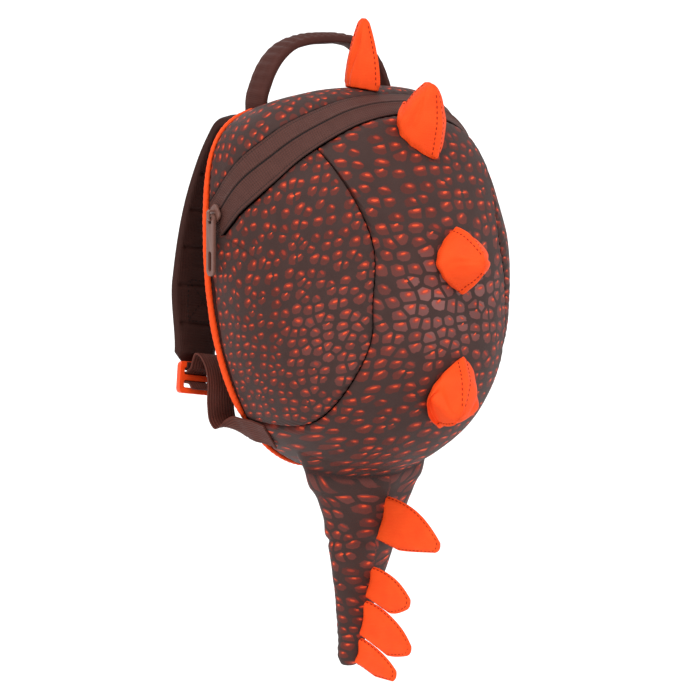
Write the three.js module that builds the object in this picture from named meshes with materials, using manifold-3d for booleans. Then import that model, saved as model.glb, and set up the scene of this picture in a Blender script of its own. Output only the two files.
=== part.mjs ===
// A toddler's dinosaur backpack: an egg-shaped pouch with a flat padded back, a zip over its top,
// stuffed spikes down its middle, a hanging tail with fins, a grab handle and two shoulder straps.
//
// Millimetres, +Z up. The bag's front looks along -Y and its left side, seen from the front, is -X.
// The exported group has its origin at the underside of the grab handle, where a peg or a hand holds it.
//
// The pouch is one smooth skin. A place on it is given by two numbers:
//   bearing  degrees round from the top, seen from the front, negative on the left side
//   reach    0 at the back edge, 1 at the nose, the most forward point of the front
import * as THREE from "three";
import { mergeVertices } from "three/addons/utils/BufferGeometryUtils.js";
import Module from "manifold-3d";

const kernel = await Module();
kernel.setup();

// Pouch
const BODY_HEIGHT = 262; // tail seam to crown
const BODY_WIDTH = 216; // widest point
const BODY_DEPTH = 127; // back edge to nose
const PANEL_THICKNESS = 2.4; // lightly padded printed cloth
const SEAM_DIP = 2.6; // how far a padded panel sinks at its seams
const SEAM_GAP = 0.5; // between the edges of two panels
const CLEARANCE = 0.35; // between two pieces that are sewn or laid together
const SKIN_DEPTH = 45; // how far inside the skin a search for it starts

// Oval side panels
const SIDE_SEAM_CENTRE = 95; // bearing of the oval's middle
const SIDE_SEAM_HALF_SPAN = 55; // degrees of bearing
const SIDE_SEAM_REACH = 0.7;

// Zip
const ZIP_TAPE_WIDTH = 25; // both tapes and the coil
const ZIP_TAPE_THICKNESS = 1.2;
const ZIP_TAPE_SINK = 1; // the tape lies that far below the skin
const ZIP_COIL_WIDTH = 5;
const ZIP_COIL_THICKNESS = 2;
const SLIDER_BEARING = -82.5;
const SLIDER_LENGTH = 14;
const SLIDER_WIDTH = 10.5;
const SLIDER_PLATE = 1.6; // thickness of its plate
const BRIDGE_WIDTH = 2.8; // the arch that holds the pull
const BRIDGE_OPENING = 4.6;
const BRIDGE_THICKNESS = 1.2;
const PULL_LENGTH = 40;
const PULL_WIDTH = 9.4;
const PULL_THICKNESS = 1.8;
const PULL_SLOT_LENGTH = 13;

// Back panel, piping and grab handle
const BACK_PANEL_THICKNESS = 6;
const BACK_PANEL_CROWN = 3; // how much thicker the foam is in the middle
const BACK_PANEL_INSET = 1.5; // how far its inner face lies in front of the back edge
const PIPING_RADIUS = 2.1;
const HANDLE_SPAN = 115; // between the middles of its legs
const HANDLE_SETBACK = 1; // the handle's middle in front of the back edge
const HANDLE_RISE = 40.5; // back panel's top to the middle of the arch
const HANDLE_BREADTH = 18; // front to back
const HANDLE_THICKNESS = 7;

// Shoulder straps
const STRAP_WIDTH = 48;
const STRAP_THICKNESS = 9;
const STRAP_HEIGHT = BODY_HEIGHT * 0.603; // top of the strap to its lower end
const STRAP_STANDOFF = 43; // how far the strap bows away from the back panel
const STRAP_OFFSET = BODY_WIDTH * 0.2315; // from the middle of the bag to the strap's middle at its top
const STRAP_SPLAY = BODY_WIDTH * 0.102; // how much further out the lower end is
const STRAP_MARGIN = 10; // the back panel's top to the strap's top
const WEBBING_WIDTH = 22;
const WEBBING_THICKNESS = 1.5;
const WEBBING_BEARING = 153; // where it is sewn into the pouch's bottom corner
const LOCK_BAR = 4; // width of the buckle's frame and bars
const LOCK_SLOT = 4.6;
const LOCK_THICKNESS = 3.4;

// Spikes, tail and fins
const SPIKE_HEIGHT = 50;
const SPIKE_FOOT = 36; // across its round foot
const TAIL_LENGTH = 134;
const TAIL_WIDTH = 78; // at the seam with the pouch
const TAIL_DEPTH = 44;
const TAIL_SETBACK = 44; // back edge to the tail's middle
const FIN_REACH = 47; // the longest fin, from the tail to its tip
const FIN_THICKNESS = 4.4;

const radians = THREE.MathUtils.degToRad;
const vector = (x, y, z) => new THREE.Vector3(x, y, z);

const COLOURS = {
  print: { color: 0x4a2a26, roughness: 0.75 },
  brown: { color: 0x3a211d, roughness: 0.8 },
  tape: { color: 0x5a3f38, roughness: 0.7 },
  orange: { color: 0xf4501e, roughness: 0.7 },
  metal: { color: 0x6b5049, roughness: 0.45, metalness: 0.3 },
};

const bag = new THREE.Group();

function add(name, geometry, colour) {
  const mesh = new THREE.Mesh(geometry, new THREE.MeshStandardMaterial(COLOURS[colour]));
  mesh.name = name;
  bag.add(mesh);
  return mesh;
}

// Smooth values between the rows of a table: each row has its place in the named column.
function smoothTable(rows, place) {
  const columns = Object.keys(rows[0]).filter((key) => key !== place);
  const at = rows.map((row) => row[place]);
  const values = rows.flatMap((row) => columns.map((key) => row[key]));
  const spline = new THREE.CubicInterpolant(at, values, columns.length);
  return (where) => {
    const found = spline.evaluate(THREE.MathUtils.clamp(where, at[0], at[at.length - 1]));
    return Object.fromEntries(columns.map((key, i) => [key, found[i]]));
  };
}

// A closed geometry from points and triangles, with shared points merged and collapsed triangles dropped.
function closedGeometry(points, triangles) {
  const loose = new THREE.BufferGeometry().setFromPoints(points);
  loose.setIndex(triangles.flat());
  const merged = mergeVertices(loose, 1e-3);
  const index = merged.index.array;
  const kept = [];
  for (let i = 0; i < index.length; i += 3) {
    const [a, b, c] = [index[i], index[i + 1], index[i + 2]];
    if (a !== b && b !== c && c !== a) kept.push(a, b, c);
  }
  merged.setIndex(kept);
  return facingOut(merged);
}

// Turns every triangle round if the geometry encloses a negative volume.
function facingOut(geometry) {
  const at = geometry.attributes.position;
  const index = geometry.index.array;
  const corner = (i) => new THREE.Vector3().fromBufferAttribute(at, index[i]);
  let volume = 0;
  for (let i = 0; i < index.length; i += 3) {
    volume += corner(i).dot(corner(i + 1).cross(corner(i + 2)));
  }
  if (volume < 0) {
    const turned = Array.from(index);
    for (let i = 0; i < turned.length; i += 3) {
      [turned[i + 1], turned[i + 2]] = [turned[i + 2], turned[i + 1]];
    }
    geometry.setIndex(turned);
  }
  geometry.computeVertexNormals();
  return geometry;
}

// The triangles of a grid of columns by rows of points, whose first point has the given number.
function gridTriangles(columns, rows, first, turned) {
  const triangles = [];
  for (let i = 0; i < columns - 1; i++) {
    for (let j = 0; j < rows - 1; j++) {
      const a = first + i * rows + j;
      const [b, c, d] = [a + rows, a + rows + 1, a + 1];
      triangles.push(...(turned ? [[a, c, b], [a, d, c]] : [[a, b, c], [a, c, d]]));
    }
  }
  return triangles;
}

// A sheet with thickness: outer and inner are grids of points, and the rim joins them.
// A looped sheet closes on itself after its last column.
function sheet(outer, inner, looped = false) {
  const rows = outer[0].length;
  const close = (grid) => (looped ? [...grid, grid[0]] : grid);
  const [out, into] = [close(outer), close(inner)];
  const columns = out.length;
  const count = columns * rows;
  const points = [...out.flat(), ...into.flat()];
  const triangles = [
    ...gridTriangles(columns, rows, 0, false),
    ...gridTriangles(columns, rows, count, true),
  ];
  const rim = (a, b) => triangles.push([b, a, a + count], [b, a + count, b + count]);
  for (let i = 0; i < columns - 1; i++) {
    rim(i * rows, (i + 1) * rows);
    rim((i + 1) * rows + rows - 1, i * rows + rows - 1);
  }
  for (let j = 0; j < rows - 1 && !looped; j++) {
    rim(j + 1, j);
    rim((columns - 1) * rows + j, (columns - 1) * rows + j + 1);
  }
  return closedGeometry(points, triangles);
}

// A solid skinned over rings of points, with a cap on each end unless the rings run in a loop.
function loft(rings, looped = false) {
  const sides = rings[0].length;
  const grid = (looped ? [...rings, rings[0]] : rings).map((ring) => [...ring, ring[0]]);
  const points = grid.flat();
  const triangles = gridTriangles(grid.length, sides + 1, 0, false);
  if (!looped) {
    [0, grid.length - 1].forEach((end) => {
      const middle = vector(0, 0, 0);
      rings[end].forEach((p) => middle.addScaledVector(p, 1 / sides));
      points.push(middle);
      for (let k = 0; k < sides; k++) {
        const [a, b] = [end * (sides + 1) + k, end * (sides + 1) + k + 1];
        triangles.push(end ? [b, a, points.length - 1] : [a, b, points.length - 1]);
      }
    });
  }
  return closedGeometry(points, triangles);
}

// Points round an ellipse whose two half-axes are given as vectors; power over 2 squares it off.
function ring(centre, halfA, halfB, sides, power = 2) {
  return Array.from({ length: sides }, (_, k) => {
    const turn = (k / sides) * 2 * Math.PI;
    const [c, s] = [Math.cos(turn), Math.sin(turn)];
    const out = (Math.abs(c) ** power + Math.abs(s) ** power) ** (-1 / power);
    return centre.clone().addScaledVector(halfA, c * out).addScaledVector(halfB, s * out);
  });
}

const spread = (from, to, count) =>
  Array.from({ length: count + 1 }, (_, i) => from + ((to - from) * i) / count);

// The pouch's slices parallel to the back. All but the powers are shares of the driving sizes:
// depth of the slice, its top and foot, half its breadth, the height where it is widest.
// The powers say how square its shoulders and hips are, 2 being an ellipse.
const SLICES = [
  { depth: 0.0, top: 0.943, foot: 0.0, breadth: 0.944, waist: 0.634, shoulder: 4.0, hip: 2.1 },
  { depth: 0.28, top: 0.981, foot: 0.01, breadth: 1.0, waist: 0.618, shoulder: 3.0, hip: 2.2 },
  { depth: 0.54, top: 0.947, foot: 0.024, breadth: 0.926, waist: 0.542, shoulder: 2.4, hip: 2.2 },
  { depth: 0.76, top: 0.855, foot: 0.09, breadth: 0.759, waist: 0.485, shoulder: 2.3, hip: 2.3 },
  { depth: 0.92, top: 0.706, foot: 0.206, breadth: 0.519, waist: 0.454, shoulder: 2.0, hip: 2.0 },
  { depth: 0.987, top: 0.573, foot: 0.336, breadth: 0.241, waist: 0.454, shoulder: 2.0, hip: 2.0 },
  { depth: 1.0, top: 0.454, foot: 0.454, breadth: 0.0, waist: 0.454, shoulder: 2.0, hip: 2.0 },
];
const reachOfDepth = (share) => Math.asin(THREE.MathUtils.clamp(share, 0, 1)) / (Math.PI / 2);
const sliceAt = smoothTable(
  SLICES.map(({ depth, ...sizes }) => ({ reach: reachOfDepth(depth), ...sizes })),
  "reach",
);

// How far the skin is from the slice's widest height, in the direction of a bearing.
function sliceRadius(slice, bearing) {
  const up = Math.cos(radians(bearing));
  const across = Math.abs(Math.sin(radians(bearing)));
  const upper = up > 0;
  const rise = BODY_HEIGHT * (upper ? slice.top - slice.waist : slice.waist - slice.foot);
  const half = (BODY_WIDTH / 2) * slice.breadth;
  const power = upper ? slice.shoulder : slice.hip;
  const sides = [across / Math.max(half, 1e-6), Math.abs(up) / Math.max(rise, 1e-6)];
  return (sides[0] ** power + sides[1] ** power) ** (-1 / power);
}

// The point of the skin at a bearing and reach.
function skin(bearing, reach) {
  const slice = sliceAt(reach);
  const radius = sliceRadius(slice, bearing);
  const angle = radians(bearing);
  return vector(
    radius * Math.sin(angle),
    -BODY_DEPTH * Math.sin((reach * Math.PI) / 2),
    BODY_HEIGHT * slice.waist + radius * Math.cos(angle),
  );
}

// The skin's outward direction there.
function outward(bearing, reach) {
  const step = 0.004;
  if (reach > 1 - step) return vector(0, -1, 0);
  const near = THREE.MathUtils.clamp(reach, step, 1 - step);
  const along = skin(bearing, near + step).sub(skin(bearing, near - step));
  const round = skin(bearing + 1, near).sub(skin(bearing - 1, near));
  return along.cross(round).normalize();
}

// The bearing and reach of a point on or near the skin.
function placeOf(point) {
  const reach = reachOfDepth(-point.y / BODY_DEPTH);
  const waist = BODY_HEIGHT * sliceAt(reach).waist;
  return { reach, bearing: THREE.MathUtils.radToDeg(Math.atan2(point.x, point.z - waist)) };
}

function isInside(point) {
  if (point.y > 0 || point.y < -BODY_DEPTH) return false;
  const { reach, bearing } = placeOf(point);
  const slice = sliceAt(reach);
  return Math.hypot(point.x, point.z - BODY_HEIGHT * slice.waist) < sliceRadius(slice, bearing);
}

// Where a line from a point inside the pouch leaves it, and a little further by the lift.
function landing(inner, direction, lift) {
  let [near, far] = [0, BODY_HEIGHT];
  for (let i = 0; i < 40; i++) {
    const middle = (near + far) / 2;
    if (isInside(inner.clone().addScaledVector(direction, middle))) near = middle;
    else far = middle;
  }
  return inner.clone().addScaledVector(direction, near + lift);
}

// The share of reach, or the degrees of bearing, that a length covers at a place on the skin.
function reachOfLength(length, bearing, reach) {
  const step = 0.01;
  const low = Math.min(reach, 1 - step);
  return (length * step) / skin(bearing, low + step).distanceTo(skin(bearing, low));
}
function bearingOfLength(length, bearing, reach) {
  return length / skin(bearing + 0.5, reach).distanceTo(skin(bearing - 0.5, reach));
}

// The zip's middle line, for each side.
const ZIP_LINE = [
  { bearing: 0, reach: 0.352 },
  { bearing: 18, reach: 0.35 },
  { bearing: 32, reach: 0.335 },
  { bearing: 45, reach: 0.3 },
  { bearing: 58, reach: 0.25 },
  { bearing: 70, reach: 0.175 },
  { bearing: 80, reach: 0.09 },
  { bearing: 88, reach: 0.0 },
  { bearing: 96, reach: -0.1 },
];
const zipAt = smoothTable(ZIP_LINE, "bearing");
const zipReach = (bearing) => zipAt(Math.abs(bearing)).reach;
const ZIP_END = 88; // bearing where the middle line meets the back edge

// The reach of a line that runs beside the zip's middle line, a length towards the nose.
function besideZip(bearing, length) {
  const turn = Math.abs(bearing);
  const step = 0.5;
  const middle = THREE.MathUtils.clamp(zipReach(turn), 0, 1);
  const slope = (zipReach(turn + step) - zipReach(turn - step)) / (2 * step);
  const perReach = 1 / reachOfLength(1, turn, middle);
  const perDegree = 1 / bearingOfLength(1, turn, middle);
  // A slanting line is further along the meridian than the square distance.
  const slant = Math.hypot(1, (slope * perReach) / perDegree);
  return zipReach(turn) + (length * slant) / perReach;
}
const zipRear = (bearing) => besideZip(bearing, -ZIP_TAPE_WIDTH / 2);
const zipFront = (bearing) => besideZip(bearing, ZIP_TAPE_WIDTH / 2);

// The side panel's seam, an oval that is squarer at its top.
const SEAM_POWER = { upper: 5, lower: 2 };
function sideSeam(bearing) {
  const off = (Math.abs(bearing) - SIDE_SEAM_CENTRE) / SIDE_SEAM_HALF_SPAN;
  const power = off < 0 ? SEAM_POWER.upper : SEAM_POWER.lower;
  return SIDE_SEAM_REACH * Math.max(1 - Math.abs(off) ** power, 0) ** (1 / power);
}
const SEAM_TOP = SIDE_SEAM_CENTRE - SIDE_SEAM_HALF_SPAN;
const SEAM_FOOT = SIDE_SEAM_CENTRE + SIDE_SEAM_HALF_SPAN;

// A panel of the pouch between two lines of reach, over a list of bearings.
// pad(u, v) is from 0 at a sunk seam to 1 on full padding; sink lowers the whole panel.
function panel(bearings, low, high, rows, { thickness = PANEL_THICKNESS, pad = () => 1, sink = 0 } = {}) {
  const outer = [];
  const inner = [];
  bearings.forEach((bearing, i) => {
    const column = spread(0, 1, rows).map((v) => {
      const reach = THREE.MathUtils.lerp(low(bearing), high(bearing), v);
      const dip = sink + SEAM_DIP * (1 - pad(i / (bearings.length - 1), v));
      return [skin(bearing, reach), outward(bearing, reach), dip];
    });
    outer.push(column.map(([point, out, dip]) => point.clone().addScaledVector(out, -dip)));
    inner.push(column.map(([point, out, dip]) => point.clone().addScaledVector(out, -dip - thickness)));
  });
  return [outer, inner];
}

// Full padding in from an edge: 0 on it, 1 from a fifth of the way in.
const rollOff = (share) => 1 - Math.max(1 - share / 0.2, 0) ** 2;

const backEdge = (bearing) => reachOfLength(PIPING_RADIUS + CLEARANCE, bearing, 0);
// Panels stop short of the zip's tapes.
const zipRearEdge = (bearing) => besideZip(bearing, -ZIP_TAPE_WIDTH / 2 - SEAM_GAP);
const zipFrontEdge = (bearing) => besideZip(bearing, ZIP_TAPE_WIDTH / 2 + SEAM_GAP);

// The bearing where a line of reach crosses another, found by halving between two bearings.
function crossing(from, to, difference) {
  let [near, far] = [from, to];
  for (let i = 0; i < 30; i++) {
    const middle = (near + far) / 2;
    if (difference(middle) * difference(from) > 0) near = middle;
    else far = middle;
  }
  return near;
}

// Front panel: from the zip down over the nose to the pouch's foot, between the two side panels.
const frontEdge = (bearing) =>
  Math.max(sideSeam(bearing), Math.abs(bearing) < 90 ? zipFrontEdge(bearing) : 0, backEdge(bearing));
const halfRound = [
  ...spread(0, SEAM_TOP, 6),
  ...[0.4, 1.4, 3.2, 6.5, 12].map((turn) => SEAM_TOP + turn),
  ...spread(SEAM_TOP + 20, SEAM_FOOT - 20, 6),
  ...[12, 6.5, 3, 1, 0].map((turn) => SEAM_FOOT - turn),
  ...spread(SEAM_FOOT, 180, 5).slice(1, 5),
];
const fullRound = [...halfRound.slice(1).map((turn) => -turn).reverse(), ...halfRound, 180];
add(
  "front_panel",
  sheet(
    ...panel(fullRound, frontEdge, () => 1, 8, { pad: (u, v) => rollOff(v) }),
    true,
  ),
  "print",
);

// Side panels: ovals between the front panel's seam, the zip and the back edge.
const seamInset = (bearing) => {
  const short = SEAM_GAP / ((SIDE_SEAM_HALF_SPAN * Math.PI * BODY_WIDTH) / 360);
  return sideSeam(SIDE_SEAM_CENTRE + (Math.abs(bearing) - SIDE_SEAM_CENTRE) * (1 + short)) * (1 - short);
};
const sideRear = (bearing) => Math.max(zipFrontEdge(bearing), backEdge(bearing));
const sideTop = crossing(SIDE_SEAM_CENTRE, SEAM_TOP, (turn) => seamInset(turn) - sideRear(turn));
const sideFoot = crossing(SIDE_SEAM_CENTRE, SEAM_FOOT, (turn) => seamInset(turn) - sideRear(turn));
const sideBearings = [
  sideTop,
  ...[0.6, 1.8, 4, 8].map((turn) => sideTop + turn),
  ...spread(sideTop + 14, sideFoot - 14, 9),
  ...[8, 4, 1.8, 0.5].map((turn) => sideFoot - turn),
  sideFoot,
];
const sidePanel = sheet(
  ...panel(
    sideBearings.map((turn) => -turn),
    sideRear,
    (turn) => Math.max(seamInset(turn), sideRear(turn)),
    8,
    { pad: (u, v) => Math.min(rollOff(v), rollOff(1 - v), rollOff(u * 2), rollOff(2 - u * 2)) },
  ),
);

// The same piece on the bag's other side.
function mirrored(geometry) {
  const places = new THREE.BufferGeometry();
  places.setAttribute("position", geometry.attributes.position.clone());
  if (geometry.index) places.setIndex(geometry.index.clone());
  return facingOut(mergeVertices(places, 1e-3).scale(-1, 1, 1));
}
function addPair(name, geometry, colour) {
  add(name + "_left", geometry, colour);
  add(name + "_right", mirrored(geometry), colour);
}
addPair("side_panel", sidePanel, "print");

// Top gusset: from the back edge to the zip.
const gussetEnd = crossing(0, ZIP_END, (turn) => zipRearEdge(turn) - backEdge(turn));
const gussetHalf = [...spread(0, gussetEnd - 12, 10), gussetEnd - 6, gussetEnd - 2, gussetEnd];
add(
  "top_gusset",
  sheet(
    ...panel(
      [...gussetHalf.slice(1).map((turn) => -turn).reverse(), ...gussetHalf],
      backEdge,
      (turn) => Math.max(zipRearEdge(turn), backEdge(turn)),
      5,
    ),
  ),
  "print",
);

// Zip: two tapes and the coil between them, which stands a little higher.
const zipStop = crossing(ZIP_END, ZIP_END + 20, (turn) => zipFront(turn) - backEdge(turn));
const zipHalf = [...spread(0, 70, 10), ...spread(74, zipStop, 7)];
const zipRows = [
  { off: -ZIP_TAPE_WIDTH / 2, rise: 0 },
  { off: -ZIP_COIL_WIDTH / 2 - 0.6, rise: 0 },
  { off: -ZIP_COIL_WIDTH / 2, rise: ZIP_COIL_THICKNESS - ZIP_TAPE_THICKNESS },
  { off: ZIP_COIL_WIDTH / 2, rise: ZIP_COIL_THICKNESS - ZIP_TAPE_THICKNESS },
  { off: ZIP_COIL_WIDTH / 2 + 0.6, rise: 0 },
  { off: ZIP_TAPE_WIDTH / 2, rise: 0 },
];
const zipGrid = (height) =>
  [...zipHalf.slice(1).map((turn) => -turn).reverse(), ...zipHalf].map((bearing) =>
    zipRows.map(({ off, rise }) => {
      const [line, edge] = [besideZip(bearing, off), backEdge(bearing)];
      const reach = Math.max(line, edge);
      return skin(bearing, reach).addScaledVector(outward(bearing, reach), height(line > edge ? rise : 0));
    }),
  );
add(
  "zip_tape",
  sheet(
    zipGrid((rise) => rise - ZIP_TAPE_SINK),
    zipGrid(() => -ZIP_TAPE_SINK - ZIP_TAPE_THICKNESS),
  ),
  "tape",
);

// Back panel: foam between two cloths, thickest in its middle.
const backWaist = BODY_HEIGHT * SLICES[0].waist;
function backOutline(bearing, share) {
  const inset = PIPING_RADIUS + CLEARANCE;
  const edge = skin(bearing, 0);
  const radius = Math.hypot(edge.x, edge.z - backWaist) - inset;
  const [across, rise] = [Math.sin(radians(bearing)), Math.cos(radians(bearing))];
  return vector(across * radius * share, 0, backWaist + rise * radius * share);
}
const backRear = (share) => -BACK_PANEL_INSET + BACK_PANEL_THICKNESS + BACK_PANEL_CROWN * (1 - share ** 4);
function backFace(x, z) {
  const bearing = THREE.MathUtils.radToDeg(Math.atan2(x, z - backWaist));
  const edge = backOutline(bearing, 1);
  return backRear(Math.hypot(x, z - backWaist) / Math.hypot(edge.x, edge.z - backWaist));
}
const edgeBearings = spread(-180, 180, 52).slice(1);
const backShares = [1, 0.97, 0.9, 0.75, 0.5, 0];
const backGrid = (height) =>
  edgeBearings.map((bearing) => backShares.map((share) => backOutline(bearing, share).setY(height(share))));
add(
  "back_panel",
  sheet(
    backGrid((share) => (share === 1 ? backRear(1) - BACK_PANEL_THICKNESS / 3 : backRear(share))),
    backGrid(() => -BACK_PANEL_INSET),
    true,
  ),
  "brown",
);

// Piping: a covered cord round the back edge.
const pipeLine = edgeBearings.map((bearing) => skin(bearing, 0));
add(
  "piping",
  loft(
    pipeLine.map((point, i) => {
      const along = pipeLine[(i + 1) % pipeLine.length]
        .clone()
        .sub(pipeLine[(i + pipeLine.length - 1) % pipeLine.length])
        .normalize();
      const across = along.clone().cross(vector(0, 1, 0)).multiplyScalar(PIPING_RADIUS);
      return ring(point, across, vector(0, PIPING_RADIUS, 0), 6);
    }),
    true,
  ),
  "orange",
);

// Moves each point along a direction until it rests on the pouch.
function seated(points, direction, lift = CLEARANCE) {
  const from = (point) => point.clone().addScaledVector(direction, -SKIN_DEPTH);
  return points.map((point) => landing(from(point), direction, lift));
}

// The rings of a foot that rests on the pouch all over, from its middle out to the given ring.
function foot(points, direction, shares = [0.1, 0.4, 0.7], lift = CLEARANCE) {
  const middle = vector(0, 0, 0);
  points.forEach((point) => middle.addScaledVector(point, 1 / points.length));
  const shrunk = shares.map((share) => points.map((point) => middle.clone().lerp(point, share)));
  return [...shrunk, points].map((ring) => seated(ring, direction, lift));
}

// Grab handle: a padded band from one side of the top gusset to the other.
const handleFoot = BODY_HEIGHT * SLICES[0].top;
const HANDLE_SPINE = [
  { across: -1, rise: 0.1 },
  { across: -0.95, rise: 0.28 },
  { across: -0.86, rise: 0.52 },
  { across: -0.73, rise: 0.73 },
  { across: -0.54, rise: 0.9 },
  { across: -0.28, rise: 0.985 },
];
const handleHalf = HANDLE_SPINE.map(({ across, rise }) =>
  vector((across * HANDLE_SPAN) / 2, -HANDLE_SETBACK, handleFoot + rise * HANDLE_RISE),
);
const handleCurve = new THREE.CatmullRomCurve3(
  [
    ...handleHalf,
    vector(0, -HANDLE_SETBACK, handleFoot + HANDLE_RISE),
    ...handleHalf.map((p) => vector(-p.x, p.y, p.z)).reverse(),
  ],
  false,
  "centripetal",
);
const handleRings = spread(0, 1, 20).map((share) => {
  const along = handleCurve.getTangentAt(share);
  const thick = along.clone().cross(vector(0, 1, 0)).multiplyScalar(HANDLE_THICKNESS / 2);
  return ring(handleCurve.getPointAt(share), vector(0, HANDLE_BREADTH / 2, 0), thick, 10, 3.5);
});
const up = vector(0, 0, 1);
// Its legs stand on the piping and on the gusset in front of it.
const handleSeat = (point) => {
  const bearing = THREE.MathUtils.radToDeg(Math.atan2(point.x, handleFoot - backWaist));
  const cord = vector(point.x, point.y, skin(bearing, 0).z + PIPING_RADIUS + CLEARANCE);
  const pouch = landing(vector(point.x, Math.min(point.y, -0.1), handleFoot - SKIN_DEPTH), up, CLEARANCE);
  return cord.z > pouch.z ? cord : vector(point.x, point.y, pouch.z);
};
const feet = [handleRings.shift(), handleRings.pop()].map((ring) =>
  foot(ring, up, [0.1, 0.6]).map((loop, i) => loop.map((point) => handleSeat(point))),
);
add("grab_handle", loft([...feet[0], ...handleRings, ...feet[1].reverse()]), "brown");

// Spikes: two-panel pouches of stuffing, sewn along the bag's middle.
// place: reach of the foot's middle, negative under the nose. length: of the foot, along the middle.
// width: of the foot, across. Both are shares of SPIKE_FOOT, and tall is one of SPIKE_HEIGHT.
// lean: degrees the spike points above straight forward. aside: degrees it leans to the left.
const SPIKES = [
  { place: 0.205, length: 0.78, width: 0.56, lean: 88, aside: 0, tall: 0.9 },
  { place: 0.515, length: 0.98, width: 1.06, lean: 66, aside: 6, tall: 0.72 },
  { place: 0.895, length: 1.06, width: 1.12, lean: 0, aside: 9, tall: 0.57 },
  { place: -0.8, length: 1.16, width: 1.1, lean: -34, aside: 28, tall: 0.54 },
];
const SPIKE_PROFILE = [
  { up: 0.0, along: 1.0, across: 0.94 },
  { up: 0.14, along: 1.02, across: 1.0 },
  { up: 0.32, along: 0.93, across: 0.93 },
  { up: 0.5, along: 0.78, across: 0.78 },
  { up: 0.68, along: 0.6, across: 0.6 },
  { up: 0.84, along: 0.4, across: 0.4 },
  { up: 0.95, along: 0.23, across: 0.2 },
  { up: 1.0, along: 0.1, across: 0.09 },
];
SPIKES.forEach(({ place, length, width, lean, aside, tall }, n) => {
  const base = skin(place < 0 ? 180 : 0, Math.abs(place));
  const along = vector(0, Math.sin(radians(lean)), Math.cos(radians(lean)));
  const across = vector(1, 0, 0).applyAxisAngle(along, radians(-aside));
  const direction = across.clone().cross(along);
  const rings = SPIKE_PROFILE.map((row) =>
    ring(
      base.clone().addScaledVector(direction, row.up * tall * SPIKE_HEIGHT),
      along.clone().multiplyScalar((row.along * length * SPIKE_FOOT) / 2),
      across.clone().multiplyScalar((row.across * width * SPIKE_FOOT) / 2),
      14,
      1.8,
    ),
  );
  const sole = foot(rings[0], direction, [0.1, 0.4, 0.7], CLEARANCE * 1.5);
  // Just above the foot the pouch still follows the bag's curve.
  const hem = seated(rings[1], direction, SPIKE_PROFILE[1].up * tall * SPIKE_HEIGHT);
  const above = seated(rings[2], direction, SPIKE_PROFILE[2].up * tall * SPIKE_HEIGHT);
  const eased = rings[2].map((point, i) => point.clone().lerp(above[i], 0.5));
  add("spike_" + (n + 1), loft([...sole, hem, eased, ...rings.slice(3)]), "orange");
});

// Tail: a stuffed, tapering tube that hangs from the pouch's foot.
// setback is a share of TAIL_SETBACK, the rest are shares of the tail's own length, width and depth.
const TAIL = [
  { down: -0.06, setback: 1.0, width: 1.7, depth: 1.2 },
  { down: 0.04, setback: 1.0, width: 1.18, depth: 1.0 },
  { down: 0.14, setback: 1.0, width: 0.98, depth: 0.86 },
  { down: 0.34, setback: 0.94, width: 0.77, depth: 0.62 },
  { down: 0.48, setback: 0.88, width: 0.62, depth: 0.57 },
  { down: 0.63, setback: 0.79, width: 0.43, depth: 0.49 },
  { down: 0.85, setback: 0.7, width: 0.25, depth: 0.42 },
  { down: 0.97, setback: 0.65, width: 0.2, depth: 0.33 },
  { down: 1.0, setback: 0.64, width: 0.13, depth: 0.2 },
];
const tailAt = smoothTable(TAIL, "down");
const tailRing = (down) => {
  const { setback, width, depth } = tailAt(down);
  return ring(
    vector(0, -setback * TAIL_SETBACK, -down * TAIL_LENGTH),
    vector((width * TAIL_WIDTH) / 2, 0, 0),
    vector(0, (depth * TAIL_DEPTH) / 2, 0),
    18,
  );
};
const tailFront = (down) => {
  const { setback, depth } = tailAt(down);
  return -setback * TAIL_SETBACK - (depth * TAIL_DEPTH) / 2;
};
const tailRings = [
  ...[-0.04, 0.015, 0.04, 0.08, 0.14, 0.24, 0.34, 0.41],
  ...[0.48, 0.56, 0.63, 0.74, 0.85, 0.93, 0.97, 1],
].map(tailRing);
const tailTop = foot(tailRings.shift(), vector(0, 0, -1), [0.1, 0.3, 0.5, 0.7, 0.85]);
add("tail", loft([...tailTop, ...tailRings]), "print");

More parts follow.
